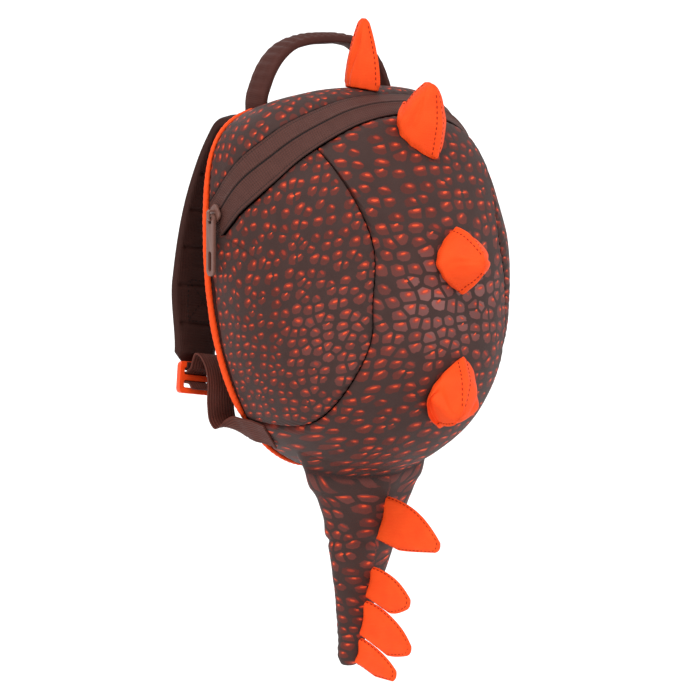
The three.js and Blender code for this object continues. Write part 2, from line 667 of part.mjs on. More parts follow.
// Fins: flat padded flaps down the tail's front. All lengths down the tail are shares of its length,
// and how far they stand out from it is a share of FIN_REACH. bow is where the upper edge swells.
const FINS = [
  { head: 0.09, foot: 0.32, tip: 0.29, tipOut: 1.0, bow: 0.107, heel: 0.352, heelOut: 0.4 },
  { head: 0.466, foot: 0.632, tip: 0.61, tipOut: 0.71, bow: 0.48, heel: 0.684, heelOut: 0.44 },
  { head: 0.648, foot: 0.832, tip: 0.845, tipOut: 0.87, bow: 0.672, heel: 0.905, heelOut: 0.5 },
  { head: 0.848, foot: 0.985, tip: 0.995, tipOut: 0.68, bow: 0.885, heel: 1.03, heelOut: 0.4 },
];
const finFrame = new THREE.Matrix4().makeBasis(vector(0, -1, 0), vector(0, 0, 1), vector(-1, 0, 0));
FINS.forEach(({ head, foot, tip, tipOut, bow, heel, heelOut }, n) => {
  const root = (down) => -tailFront(Math.min(down, 1)) + CLEARANCE + 0.3;
  const out = (down, share) => root(down) + share * FIN_REACH;
  const depthOf = (down) => -down * TAIL_LENGTH;
  const shape = new THREE.Shape();
  shape.moveTo(root(head), depthOf(head));
  shape.quadraticCurveTo(
    out(head, tipOut * 0.645),
    depthOf(bow),
    out(head, tipOut),
    depthOf(tip - 0.02),
  );
  shape.quadraticCurveTo(
    out(head, tipOut * 1.02),
    depthOf(tip + 0.02),
    out(head, tipOut * 0.9),
    depthOf(tip + 0.035),
  );
  shape.quadraticCurveTo(out(foot, heelOut * 1.3), depthOf(heel), out(foot, heelOut), depthOf(heel));
  shape.quadraticCurveTo(
    out(foot, heelOut * 0.5),
    depthOf(foot + (heel - foot) * 0.55),
    root(foot),
    depthOf(foot),
  );
  spread(foot, head, 6)
    .slice(1, 6)
    .forEach((down) => shape.lineTo(root(down), depthOf(down)));
  shape.closePath();
  const fin = new THREE.ExtrudeGeometry(shape, {
    depth: FIN_THICKNESS,
    bevelEnabled: false,
    curveSegments: 6,
  });
  fin.applyMatrix4(finFrame).translate(FIN_THICKNESS / 2, 0, 0);
  add("tail_fin_" + (n + 1), fin, "orange");
});

// The rings of a band through stops: each has a place, the direction of its width, its breadth and depth.
function bandRings(stops, sides, power) {
  return stops.map(({ at, level, breadth, depth }, i) => {
    const along = stops[Math.min(i + 1, stops.length - 1)].at.clone().sub(stops[Math.max(i - 1, 0)].at);
    along.normalize();
    const across = level.clone().addScaledVector(along, -level.dot(along)).normalize();
    const through = across.clone().cross(along);
    return ring(at, across.multiplyScalar(breadth / 2), through.multiplyScalar(depth / 2), sides, power);
  });
}

// Shoulder strap, on the left side: padded, bowed away from the back panel.
// Shares of STRAP_HEIGHT, STRAP_STANDOFF and STRAP_SPLAY.
const STRAP_SPINE = [
  { down: 0.035, back: 0.02, out: 0.0 },
  { down: 0.012, back: 0.16, out: 0.02 },
  { down: 0.025, back: 0.3, out: 0.05 },
  { down: 0.09, back: 0.47, out: 0.1 },
  { down: 0.19, back: 0.65, out: 0.18 },
  { down: 0.35, back: 0.85, out: 0.3 },
  { down: 0.52, back: 0.96, out: 0.44 },
  { down: 0.7, back: 1.0, out: 0.6 },
  { down: 0.86, back: 0.98, out: 0.8 },
  { down: 1.0, back: 0.92, out: 1.0 },
];
const STRAP_END = 0.68; // breadth of its lower end, as a share of its width
const strapHead = vector(-STRAP_OFFSET, backRear(1) + BACK_PANEL_CROWN / 2, handleFoot - STRAP_MARGIN);
const strapCurve = new THREE.CatmullRomCurve3(
  STRAP_SPINE.map(({ down, back, out }) =>
    strapHead.clone().add(vector(-out * STRAP_SPLAY, back * STRAP_STANDOFF, -down * STRAP_HEIGHT)),
  ),
  false,
  "centripetal",
);
const level = vector(1, 0, 0);
const strapStops = spread(0, 1, 18).map((share) => ({
  at: strapCurve.getPointAt(share),
  level,
  breadth: STRAP_WIDTH * THREE.MathUtils.lerp(1, STRAP_END, THREE.MathUtils.smoothstep(share, 0.72, 1)),
  depth: STRAP_THICKNESS,
}));

// The buckle's own directions: down it, across it, and out of its rear face.
const lockDown = strapCurve.getTangentAt(1);
const lockAcross = level.clone().addScaledVector(lockDown, -level.dot(lockDown)).normalize();
const lockOut = lockDown.clone().cross(lockAcross).negate();
if (lockOut.y < 0) lockOut.negate();
const halfWebbing = WEBBING_THICKNESS / 2;
const layer = LOCK_THICKNESS / 2 + CLEARANCE + halfWebbing; // middle of a webbing that lies on a bar
const lockTop = strapCurve
  .getPointAt(1)
  .addScaledVector(lockDown, layer + STRAP_THICKNESS / 3)
  .addScaledVector(lockOut, -layer);
const inLock = (down, out) => lockTop.clone().addScaledVector(lockDown, down).addScaledVector(lockOut, out);
const LOCK_LENGTH = 3 * LOCK_BAR + 2 * LOCK_SLOT;
const LOCK_WIDTH = WEBBING_WIDTH + 2 * LOCK_BAR + 1.2;
const bend = CLEARANCE * 1.4 + halfWebbing; // radius of a webbing's middle round a bar's corner
// The places, down and out of the buckle, of a webbing that goes round a bar's edge.
function roundEdge(edge, side, from) {
  return [
    [0.38, 0.92],
    [0.92, 0.38],
    [1, null],
    [0.92, -0.38],
    [0.38, -0.92],
  ].map(([down, out]) => [
    edge + side * down * bend,
    out === null ? 0 : from * (Math.sign(out) * (LOCK_THICKNESS / 2) + out * bend),
  ]);
}

// The strap's end narrows to a webbing that goes round the buckle's top bar.
const tongue = (down, out) => ({
  at: inLock(down, out),
  level: lockAcross,
  breadth: WEBBING_WIDTH,
  depth: WEBBING_THICKNESS,
});
const neck = {
  ...tongue(-layer * 0.75, layer),
  breadth: WEBBING_WIDTH * 1.25,
  depth: STRAP_THICKNESS * 0.3,
};
const strapRings = bandRings(
  [
    ...strapStops,
    neck,
    tongue(LOCK_BAR * 0.1, layer),
    tongue(LOCK_BAR * 0.75, layer),
    ...roundEdge(LOCK_BAR, 1, 1).map(([down, out]) => tongue(down, out)),
    tongue(LOCK_BAR * 0.75, -layer),
    tongue(LOCK_BAR * 0.1, -layer),
  ],
  10,
  4,
);
// Its top end lies flat on the back panel.
const onBack = (share) => {
  const end = strapRings[0];
  const middle = end[0].clone().lerp(end[end.length / 2], 0.5);
  return end.map((point) => {
    const { x, z } = middle.clone().lerp(point, share);
    return vector(x, backFace(x, z) + CLEARANCE, z);
  });
};
const strap = loft([onBack(0.1), onBack(0.55), onBack(1), ...strapRings.slice(1)]);
addPair("shoulder_strap", strap, "brown");

// Ladder lock: a frame with two slots.
function plate(outline, holes, thickness) {
  const shape = new THREE.Shape(outline);
  shape.holes = holes.map((hole) => new THREE.Path(hole));
  const solid = new THREE.ExtrudeGeometry(shape, { depth: thickness, bevelEnabled: false });
  return solid.translate(0, 0, -thickness / 2);
}
// A rectangle with rounded corners, as points from the middle of its top edge's height down.
function rounded(width, top, foot, radius, steps = 3) {
  const corners = [
    [width / 2 - radius, foot + radius, -90],
    [width / 2 - radius, top - radius, 0],
    [-width / 2 + radius, top - radius, 90],
    [-width / 2 + radius, foot + radius, 180],
  ];
  return corners.flatMap(([x, y, from]) =>
    spread(from, from + 90, steps).map(
      (turn) =>
        new THREE.Vector2(x + radius * Math.cos(radians(turn)), y + radius * Math.sin(radians(turn))),
    ),
  );
}
const slotOf = (n) => {
  const top = -LOCK_BAR - n * (LOCK_SLOT + LOCK_BAR);
  return rounded(WEBBING_WIDTH + 1.2, top, top - LOCK_SLOT, 1);
};
const lock = plate(rounded(LOCK_WIDTH, 0, -LOCK_LENGTH, 3), [slotOf(0), slotOf(1)], LOCK_THICKNESS);
const lockUp = lockDown.clone().negate();
lock.applyMatrix4(new THREE.Matrix4().makeBasis(lockAcross, lockUp, lockAcross.clone().cross(lockUp)));
lock.translate(lockTop.x, lockTop.y, lockTop.z);
addPair("ladder_lock", lock, "orange");

// Webbing: from the pouch's bottom corner back under the piping, up, and over into the buckle,
// round its middle bar and out again as a short free end.
const cornerLevel = skin(-WEBBING_BEARING - 3, 0.05).sub(skin(-WEBBING_BEARING + 3, 0.05)).normalize();
const corner = (reach, lift) =>
  skin(-WEBBING_BEARING, reach).addScaledVector(outward(-WEBBING_BEARING, reach), lift + halfWebbing);
const underCord = PIPING_RADIUS + CLEARANCE;
const midBar = LOCK_BAR + LOCK_SLOT; // its upper edge, down the buckle
const cornerRear = corner(0, underCord).setY(underCord + 1);
const webbingPoints = [
  { at: corner(0.12, CLEARANCE * 1.5), roll: 1 },
  { at: corner(0.065, CLEARANCE * 2.5), roll: 1 },
  { at: corner(0.02, underCord), roll: 1 },
  { at: cornerRear, roll: 0.94 },
  { at: cornerRear.clone().add(vector(-0.3, 4.6, -0.8)), roll: 0.66 },
  { at: cornerRear.clone().add(vector(-0.8, 9.2, -1.2)), roll: 0.25 },
  { at: cornerRear.clone().add(vector(-1.6, 13.6, 0.4)), roll: -0.15 },
  { at: cornerRear.clone().add(vector(-3, 15.6, 5.5)), roll: -0.4 },
  { at: cornerRear.clone().add(vector(-5.6, 14.4, 15)), roll: -0.3 },
  { at: inLock(LOCK_LENGTH * 0.7, -layer * 8.8), roll: 0 },
  { at: inLock(LOCK_LENGTH * 0.2, -layer * 7.6), roll: 0 },
  { at: inLock(-LOCK_BAR * 0.9, -layer * 5.2), roll: 0 },
  { at: inLock(-LOCK_BAR * 1.2, -layer * 3.6), roll: 0 },
  { at: inLock(LOCK_BAR * 1.1, -layer * 2.3), roll: 0 },
];
const webbingCurve = new THREE.CatmullRomCurve3(webbingPoints.map(({ at }) => at), false, "centripetal");
const rollAt = smoothTable(
  webbingPoints.map(({ roll }, i) => ({ share: i / (webbingPoints.length - 1), roll })),
  "share",
);
const barFoot = midBar + LOCK_BAR;
const threaded = [
  ...roundEdge(midBar, -1, -1).slice(1),
  [midBar + LOCK_BAR * 0.5, layer],
  ...roundEdge(barFoot, 1, 1).slice(0, 4),
  [barFoot + bend * 1.2, -layer * 1.5],
  [barFoot + bend * 2.2, -layer * 2.3],
  [barFoot + bend * 4.5, -layer * 3.1],
];
// Its stops stand closer where it rolls over and turns upwards.
const webbingShares = [...spread(0, 0.24, 4), ...spread(0.28, 0.6, 13), ...spread(0.66, 1, 7)];
const webbingStops = [
  ...webbingShares.map((share) => ({
    at: webbingCurve.getPoint(share),
    level: lockAcross.clone().lerp(cornerLevel, rollAt(share).roll).normalize(),
  })),
  ...threaded.map(([down, out]) => ({ at: inLock(down, out), level: lockAcross })),
].map((stop) => ({ ...stop, breadth: WEBBING_WIDTH, depth: WEBBING_THICKNESS }));
addPair("webbing", loft(bandRings(webbingStops, 8, 8)), "brown");

// Joins overlapping geometries into one closed solid.
function joined(...geometries) {
  const solids = geometries.map((geometry) => {
    const places = new THREE.BufferGeometry();
    places.setAttribute("position", geometry.attributes.position.clone());
    if (geometry.index) places.setIndex(geometry.index.clone());
    const merged = mergeVertices(places, 1e-3);
    return new kernel.Manifold(
      new kernel.Mesh({
        numProp: 3,
        vertProperties: merged.attributes.position.array,
        triVerts: Uint32Array.from(merged.index.array),
      }),
    );
  });
  const { vertProperties, triVerts } = kernel.Manifold.union(solids).getMesh();
  const out = new THREE.BufferGeometry();
  out.setAttribute("position", new THREE.BufferAttribute(vertProperties.slice(), 3));
  out.setIndex(Array.from(triVerts));
  out.computeVertexNormals();
  return out;
}

// Zip slider: its own directions are along the zip towards its end, across it, and off the bag.
const sliderSkin = (bearing) => skin(bearing, Math.max(zipReach(bearing), 0));
const sliderReach = zipReach(SLIDER_BEARING);
const off = outward(SLIDER_BEARING, sliderReach);
const alongZip = sliderSkin(SLIDER_BEARING - 2).sub(sliderSkin(SLIDER_BEARING + 2));
alongZip.addScaledVector(off, -alongZip.dot(off)).normalize();
const acrossZip = off.clone().cross(alongZip);
const coilTop = ZIP_COIL_THICKNESS - ZIP_TAPE_THICKNESS - ZIP_TAPE_SINK;
const sliderSeat = sliderSkin(SLIDER_BEARING).addScaledVector(off, coilTop + CLEARANCE * 2);
const onSlider = (geometry, along, across) =>
  geometry
    .applyMatrix4(
      new THREE.Matrix4().makeBasis(across, along.clone().negate(), along.clone().cross(across)),
    )
    .translate(sliderSeat.x, sliderSeat.y, sliderSeat.z);
const sliderOutline = [
  ...rounded(SLIDER_WIDTH, SLIDER_LENGTH / 2, -SLIDER_LENGTH / 2, SLIDER_WIDTH / 3, 4),
];
// The bridge is turned in line with the hanging pull.
const hangAlong = vector(0, 0, -1);
hangAlong.addScaledVector(off, -hangAlong.dot(off)).normalize();
const hangAcross = off.clone().cross(hangAlong);
const sliderPlate = plate(sliderOutline, [], SLIDER_PLATE).translate(0, 0, SLIDER_PLATE / 2);
const bridgeLength = BRIDGE_OPENING + 2 * BRIDGE_THICKNESS;
const bridgeHead = PULL_THICKNESS * 1.6; // height of the opening
const bridgeShape = [
  [-bridgeLength / 2, SLIDER_PLATE * 0.5],
  [-bridgeLength / 2, SLIDER_PLATE + bridgeHead],
  [-bridgeLength / 2 + BRIDGE_THICKNESS, SLIDER_PLATE + bridgeHead + BRIDGE_THICKNESS],
  [bridgeLength / 2 - BRIDGE_THICKNESS, SLIDER_PLATE + bridgeHead + BRIDGE_THICKNESS],
  [bridgeLength / 2, SLIDER_PLATE + bridgeHead],
  [bridgeLength / 2, SLIDER_PLATE * 0.5],
  [BRIDGE_OPENING / 2, SLIDER_PLATE * 0.5],
  [BRIDGE_OPENING / 2, SLIDER_PLATE + bridgeHead],
  [-BRIDGE_OPENING / 2, SLIDER_PLATE + bridgeHead],
  [-BRIDGE_OPENING / 2, SLIDER_PLATE * 0.5],
].map(([x, y]) => new THREE.Vector2(x, y));
// Drawn in the plane of the zip's line and the slider's height, then turned to stand on the plate.
const bridge = plate(bridgeShape, [], BRIDGE_WIDTH).applyMatrix4(
  new THREE.Matrix4().makeBasis(vector(0, 1, 0), vector(0, 0, 1), vector(1, 0, 0)),
);
add(
  "zip_slider",
  joined(onSlider(sliderPlate, alongZip, acrossZip), onSlider(bridge, hangAlong, hangAcross)),
  "metal",
);

// Zip pull: a cast tab whose eye holds on to the slider's bridge. It hangs straight down.
const eyeBar = PULL_THICKNESS;
const hinge = sliderSeat.clone().addScaledVector(off, SLIDER_PLATE + bridgeHead / 2);
const eyeLength = BRIDGE_OPENING / 2 + BRIDGE_THICKNESS + CLEARANCE * 3;
const eyeWidth = BRIDGE_WIDTH + CLEARANCE * 3;
const pullOutline = rounded(PULL_WIDTH, eyeBar / 2, eyeBar / 2 - PULL_LENGTH, PULL_WIDTH * 0.42, 5);
const eye = rounded(eyeWidth, -eyeBar / 2, -eyeBar / 2 - eyeLength, eyeWidth * 0.2, 2);
const slotFoot = eyeBar / 2 - PULL_LENGTH + PULL_WIDTH * 0.32;
const pullSlot = rounded(PULL_WIDTH * 0.42, slotFoot + PULL_SLOT_LENGTH, slotFoot, PULL_WIDTH * 0.2, 4);
const pull = plate(pullOutline, [eye, pullSlot], PULL_THICKNESS);
pull.applyMatrix4(
  new THREE.Matrix4().makeBasis(
    hangAcross,
    hangAlong.clone().negate(),
    hangAlong.clone().cross(hangAcross),
  ),
);
pull.translate(hinge.x, hinge.y, hinge.z);
add("zip_pull", pull, "metal");

// The origin is where a hand or a peg holds the handle: the underside of its arch.
bag.position.set(0, HANDLE_SETBACK, HANDLE_THICKNESS / 2 - HANDLE_RISE - handleFoot);

export default bag;
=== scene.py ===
from math import cos, pi, radians, sin

import bmesh
import bpy
import numpy as np
from mathutils import Matrix, Vector, noise


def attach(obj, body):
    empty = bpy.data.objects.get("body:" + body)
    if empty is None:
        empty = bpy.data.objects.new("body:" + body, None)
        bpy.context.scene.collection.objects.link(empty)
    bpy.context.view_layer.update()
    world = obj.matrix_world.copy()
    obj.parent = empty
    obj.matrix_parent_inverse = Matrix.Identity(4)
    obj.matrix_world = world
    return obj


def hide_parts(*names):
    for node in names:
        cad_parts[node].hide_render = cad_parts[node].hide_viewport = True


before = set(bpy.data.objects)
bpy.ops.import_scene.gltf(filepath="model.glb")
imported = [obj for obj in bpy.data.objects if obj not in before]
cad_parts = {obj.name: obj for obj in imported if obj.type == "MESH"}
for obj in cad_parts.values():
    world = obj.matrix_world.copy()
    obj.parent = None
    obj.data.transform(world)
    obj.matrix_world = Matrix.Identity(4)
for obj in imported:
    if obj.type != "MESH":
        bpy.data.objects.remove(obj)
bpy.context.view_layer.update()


# Studio
# A very large pale floor below the hanging bag, under an even white sky. One broad light comes from the
# upper left in front, and a weaker one from the right, so the bag is soft and almost shadowless.
LENS, SENSOR_WIDTH, CAMERA_DISTANCE, CAMERA_REACH = 135, 36, 1.75, 100
CAMERA_TURN, CAMERA_RISE = radians(-45), radians(9)
AIM = Vector((0, -0.028, -0.202066))
SKY_STRENGTH = 0.75
FLOOR_HEIGHT, FLOOR_RADIUS, FLOOR_GREY = -0.62, 40, 0.86


def placed(name, data):
    """A new object of the scene."""
    made = bpy.data.objects.new(name, data)
    bpy.context.scene.collection.objects.link(made)
    return made


view_camera = placed("camera", bpy.data.cameras.new("camera"))
bpy.context.scene.camera = view_camera
view_camera.data.lens = LENS
view_camera.data.sensor_width = SENSOR_WIDTH
view_camera.data.clip_end = CAMERA_REACH
view_camera.location = AIM + CAMERA_DISTANCE * Vector(
    (sin(CAMERA_TURN) * cos(CAMERA_RISE), -cos(CAMERA_TURN) * cos(CAMERA_RISE), sin(CAMERA_RISE))
)
view_camera.rotation_euler = (AIM - view_camera.location).to_track_quat("-Z", "Y").to_euler()

for lamp_name, strength, softness, turn, rise in (
    ("key_light", 2.3, 35, -62, 50),
    ("fill_light", 0.8, 60, 40, 25),
    ("rear_light", 0.8, 50, 160, 40),
):
    lamp = placed(lamp_name, bpy.data.lights.new(lamp_name, "SUN"))
    lamp.data.energy = strength
    lamp.data.angle = radians(softness)
    lamp.rotation_euler = (radians(90 - rise), 0, radians(turn))

sky = bpy.data.worlds.new("studio")
bpy.context.scene.world = sky
sky.use_nodes = True
sky.node_tree.nodes["Background"].inputs["Color"].default_value = (1, 1, 1, 1)
sky.node_tree.nodes["Background"].inputs["Strength"].default_value = SKY_STRENGTH
bpy.context.scene.view_settings.view_transform = "Standard"

floor_mesh = bmesh.new()
bmesh.ops.create_circle(
    floor_mesh, cap_ends=True, segments=64, radius=FLOOR_RADIUS,
    matrix=Matrix.Translation((0, 0, FLOOR_HEIGHT)),
)
floor_object = placed("floor", bpy.data.meshes.new("floor"))
floor_mesh.to_mesh(floor_object.data)
floor_mesh.free()
floor_paint = bpy.data.materials.new("floor_paint")
floor_paint.use_nodes = True
floor_surface = floor_paint.node_tree.nodes["Principled BSDF"]
floor_surface.inputs["Base Color"].default_value = (FLOOR_GREY, FLOOR_GREY, FLOOR_GREY, 1)
floor_surface.inputs["Roughness"].default_value = 0.9
floor_object.data.materials.append(floor_paint)


# Front panel
# The domed front of the pouch: one lightly padded panel of printed polyester with a dull coat behind it,
# sewn to the zip above, to the two side panels, and to the back edge's piping below.
MM = 0.001
SHIFT = np.array((0.0, 1.0, -284.066))
BODY_HEIGHT, BODY_WIDTH, BODY_DEPTH = 262.0, 216.0, 127.0
PANEL_THICKNESS, SEAM_DIP, SEAM_GAP, CLEARANCE = 2.4, 2.6, 0.5, 0.35
PIPING_RADIUS = 2.1
ZIP_TAPE_WIDTH = 25.0
SIDE_SEAM_CENTRE, SIDE_SEAM_HALF_SPAN, SIDE_SEAM_REACH = 95.0, 55.0, 0.7
FORWARD = np.array((0.0, -1.0, 0.0))
PANEL_SEAM_LENGTH = 760.0
# SEAM_SHADE_WIDTH is the width in millimetres of the painted shade along the panels' seams.
SEAM_ROLL, SEAM_SHADE_WIDTH = 9.0, 0.55
PUCKER_DEPTH, PUCKER_PITCH, PUCKER_REACH = 0.8, 6.4, 8.0
BROAD_LUMP, SMALL_LUMP = 1.3, 0.55
SCALE_WIDTH, NOSE_NARROWING, HIGH_SCALE, LOW_SCALE = 14.5, 3.2, 10.5, 8.4


def smooth_rows(places, rows):
    """A function that gives smooth values between the rows of a table."""
    at, values = np.array(places, float), np.array(rows, float)
    last = len(at) - 1

    def evaluate(where):
        where = np.clip(np.asarray(where, float), at[0], at[-1])
        upper = np.clip(np.searchsorted(at, where, side="right"), 1, last)
        lower = upper - 1
        before = np.where(lower == 0, upper, lower - 1)
        after = np.where(upper == last, lower, upper + 1)
        t0, t1 = at[lower], at[upper]
        weight_before = (t1 - t0) / 2 / (t0 - at[before])
        weight_after = (t1 - t0) / 2 / (at[after] - t1)
        p = (where - t0) / (t1 - t0)
        cubic, square = 1 + weight_before, 1.5 + 2 * weight_before
        shares = (
            (before, -weight_before * p**3 + 2 * weight_before * p**2 - weight_before * p),
            (lower, cubic * p**3 - square * p**2 + (weight_before - 0.5) * p + 1),
            (upper, -(1 + weight_after) * p**3 + (1.5 + weight_after) * p**2 + 0.5 * p),
            (after, weight_after * (p**3 - p**2)),
        )
        return sum(values[row] * share[..., None] for row, share in shares)

    return evaluate


# Slices of the pouch parallel to its back, in shares of its size: depth, top, foot, breadth, widest height,
# and how square the shoulders and the hips are.
SLICES = np.array((
    (0.0, 0.943, 0.0, 0.944, 0.634, 4.0, 2.1),
    (0.28, 0.981, 0.01, 1.0, 0.618, 3.0, 2.2),
    (0.54, 0.947, 0.024, 0.926, 0.542, 2.4, 2.2),
    (0.76, 0.855, 0.09, 0.759, 0.485, 2.3, 2.3),
    (0.92, 0.706, 0.206, 0.519, 0.454, 2.0, 2.0),
    (0.987, 0.573, 0.336, 0.241, 0.454, 2.0, 2.0),
    (1.0, 0.454, 0.454, 0.0, 0.454, 2.0, 2.0),
))
slice_at = smooth_rows(np.arcsin(SLICES[:, 0]) / (pi / 2), SLICES[:, 1:])


def slice_radius(rows, angle):
    """How far the skin is from a slice's widest height, in a direction."""
    top, foot, breadth, waist, shoulder, hip = np.moveaxis(rows, -1, 0)
    up, across = np.cos(angle), np.abs(np.sin(angle))
    rise = BODY_HEIGHT * np.where(up > 0, top - waist, waist - foot)
    half = BODY_WIDTH / 2 * breadth
    power = np.where(up > 0, shoulder, hip)
    sides = (across / np.maximum(half, 1e-6)) ** power + (np.abs(up) / np.maximum(rise, 1e-6)) ** power
    return sides ** (-1 / power)


def skin(bearing, reach):
    """A point of the pouch: bearing in degrees from the top, seen from the front, and reach from the back
    edge, 0, to the nose, 1."""
    bearing, reach = np.broadcast_arrays(np.asarray(bearing, float), np.asarray(reach, float))
    rows, angle = slice_at(reach), np.radians(bearing)
    radius = slice_radius(rows, angle)
    height = BODY_HEIGHT * rows[..., 3] + radius * np.cos(angle)
    return np.stack((radius * np.sin(angle), -BODY_DEPTH * np.sin(reach * pi / 2), height), -1)


def unit(vectors):
    """The same directions with a length of 1."""
    return vectors / np.maximum(np.linalg.norm(vectors, axis=-1, keepdims=True), 1e-9)


def outward(bearing, reach):
    """The skin's outward direction there."""
    bearing, reach = np.broadcast_arrays(np.asarray(bearing, float), np.asarray(reach, float))
    near = np.clip(reach, 0.004, 0.992)
    along = skin(bearing, near + 0.004) - skin(bearing, near - 0.004)
    round_it = skin(bearing + 1, near) - skin(bearing - 1, near)
    out = unit(np.cross(along, round_it))
    share = np.clip((reach - 0.985) / 0.015, 0, 1)[..., None]
    return unit(out * (1 - share) + FORWARD * share)


def length_per_reach(bearing, reach):
    """Millimetres of skin for a whole reach, as measured there."""
    low = np.minimum(reach, 0.99)
    return np.linalg.norm(skin(bearing, low + 0.01) - skin(bearing, low), axis=-1) / 0.01


def length_per_degree(bearing, reach):
    """Millimetres of skin for a degree of bearing there."""
    return np.linalg.norm(skin(bearing + 0.5, reach) - skin(bearing - 0.5, reach), axis=-1)


# The zip's middle: a bearing to either side, and the reach there.
ZIP_LINE = np.array((
    (0, 0.352), (18, 0.35), (32, 0.335), (45, 0.3), (58, 0.25),
    (70, 0.175), (80, 0.09), (88, 0), (96, -0.1),
))
zip_at = smooth_rows(ZIP_LINE[:, 0], ZIP_LINE[:, 1:])


def beside_zip(bearing, length):
    """The reach of a line that runs beside the zip's middle, a length towards the nose."""
    turn = np.abs(bearing)
    middle = np.clip(zip_at(turn)[..., 0], 0, 1)
    slope = zip_at(turn + 0.5)[..., 0] - zip_at(turn - 0.5)[..., 0]
    per_reach = length_per_reach(turn, middle)
    slant = np.hypot(1, slope * per_reach / length_per_degree(turn, middle))
    return zip_at(turn)[..., 0] + length * slant / per_reach


def back_edge(bearing):
    """The reach of the panels' edge at the piping."""
    return (PIPING_RADIUS + CLEARANCE) / length_per_reach(bearing, np.zeros_like(bearing))


def zip_front_edge(bearing):
    """The reach of the seam in front of the zip, 0 past its ends."""
    return np.where(np.abs(bearing) < 90, beside_zip(bearing, ZIP_TAPE_WIDTH / 2 + SEAM_GAP), 0)


def side_seam(bearing):
    """The reach of the seam between the front panel and a side panel."""
    off = (np.abs(bearing) - SIDE_SEAM_CENTRE) / SIDE_SEAM_HALF_SPAN
    power = np.where(off < 0, 5.0, 2.0)
    return SIDE_SEAM_REACH * np.maximum(1 - np.abs(off) ** power, 0) ** (1 / power)


def even_bearings(start, end, line):
    """Bearings for the shares 0 to 1 that are evenly spaced along a line of reach. Each step of bearing
    also counts a little by itself, so that no stretch of bearings is left bare where the line is short."""
    dense = np.linspace(start, end, 2401)
    steps = np.linalg.norm(np.diff(skin(dense, np.clip(line(dense), 0, 1)), axis=0), axis=1)
    covered = np.concatenate(([0], np.cumsum(steps + steps.mean() * 0.15)))
    return lambda share: np.interp(share, covered / covered[-1], dense)


def roughly(points, size, seed=0.0):
    """Smooth noise from -1 to 1 at each point, with bumps of about that size in millimetres."""
    return np.array([noise.noise(Vector((*(p / size + seed),))) for p in points])


def ramp(values, width=1.0):
    """Rises from 0 at 0 to 1 at the width, and is level on both sides."""
    return np.clip(values / width, 0, 1)


def hump(distance, width):
    """A smooth hump of height 1 where the distance is 0, which fades over about the width."""
    return np.exp(-((distance / width) ** 2))


def rolled(distance, width):
    """How full the padding is at a distance in from a seam: 0 on it, 1 past the width."""
    return 1 - np.clip(1 - distance / width, 0, 1) ** 2.2


def mesh_object(name, bm, finish, thickness=0.0):
    """The object of a finished mesh, which may still need a wall of that thickness on its inside."""
    mesh = bpy.data.meshes.new(name)
    bm.to_mesh(mesh)
    bm.free()
    made = placed(name, mesh)
    mesh.materials.append(finish)
    mesh.polygons.foreach_set("use_smooth", [True] * len(mesh.polygons))
    if thickness:
        wall = made.modifiers.new("wall", "SOLIDIFY")
        wall.thickness = thickness * MM
        wall.offset = -1
    return made


def laid_grid(columns, rows, place):
    """A grid laid through place(u, v), which gives points in millimetres, and pairs of numbers for each
    of the piece's own maps by name. Points that meet are joined, so it may close on itself."""
    bm = bmesh.new()
    bmesh.ops.create_grid(bm, x_segments=columns, y_segments=rows, size=0.5)
    shares = np.array([v.co[:2] for v in bm.verts]) + 0.5
    points, maps = place(shares[:, 0], shares[:, 1])
    for vert, point in zip(bm.verts, (points + SHIFT) * MM):
        vert.co = point
    bm.verts.index_update()
    for map_name, pairs in maps.items():
        layer = bm.loops.layers.uv.new(map_name)
        pairs = np.stack(pairs, -1)
        for face in bm.faces:
            for loop in face.loops:
                loop[layer].uv = pairs[loop.vert.index]
    bmesh.ops.remove_doubles(bm, verts=bm.verts, dist=0.02 * MM)
    bmesh.ops.recalc_face_normals(bm, faces=bm.faces)
    return bm


class Value:
    """A number or colour socket that takes part in Python expressions."""

    def __init__(self, finish, socket):
        self.finish, self.socket = finish, socket

    def maths(self, operation, *others):
        return self.finish.node("Math", {"operation": operation}, dict(enumerate(others)))

    def __add__(self, other):
        return self.maths("ADD", self, other)

    def __sub__(self, other):
        return self.maths("SUBTRACT", self, other)

    def __rsub__(self, other):
        return self.maths("SUBTRACT", other, self)

    def __mul__(self, other):
        return self.maths("MULTIPLY", self, other)

    def __truediv__(self, other):
        return self.maths("DIVIDE", self, other)

    def __mod__(self, other):
        return self.maths("FLOORED_MODULO", self, other)

    __radd__, __rmul__ = __add__, __mul__

    def step(self, start, end):
        """0 before start and 1 past end, smoothly; the other way round if end is the lower."""
        smooth = {"interpolation_type": "SMOOTHSTEP"}
        return self.finish.node("MapRange", smooth, {"Value": self, 1: start, 2: end})


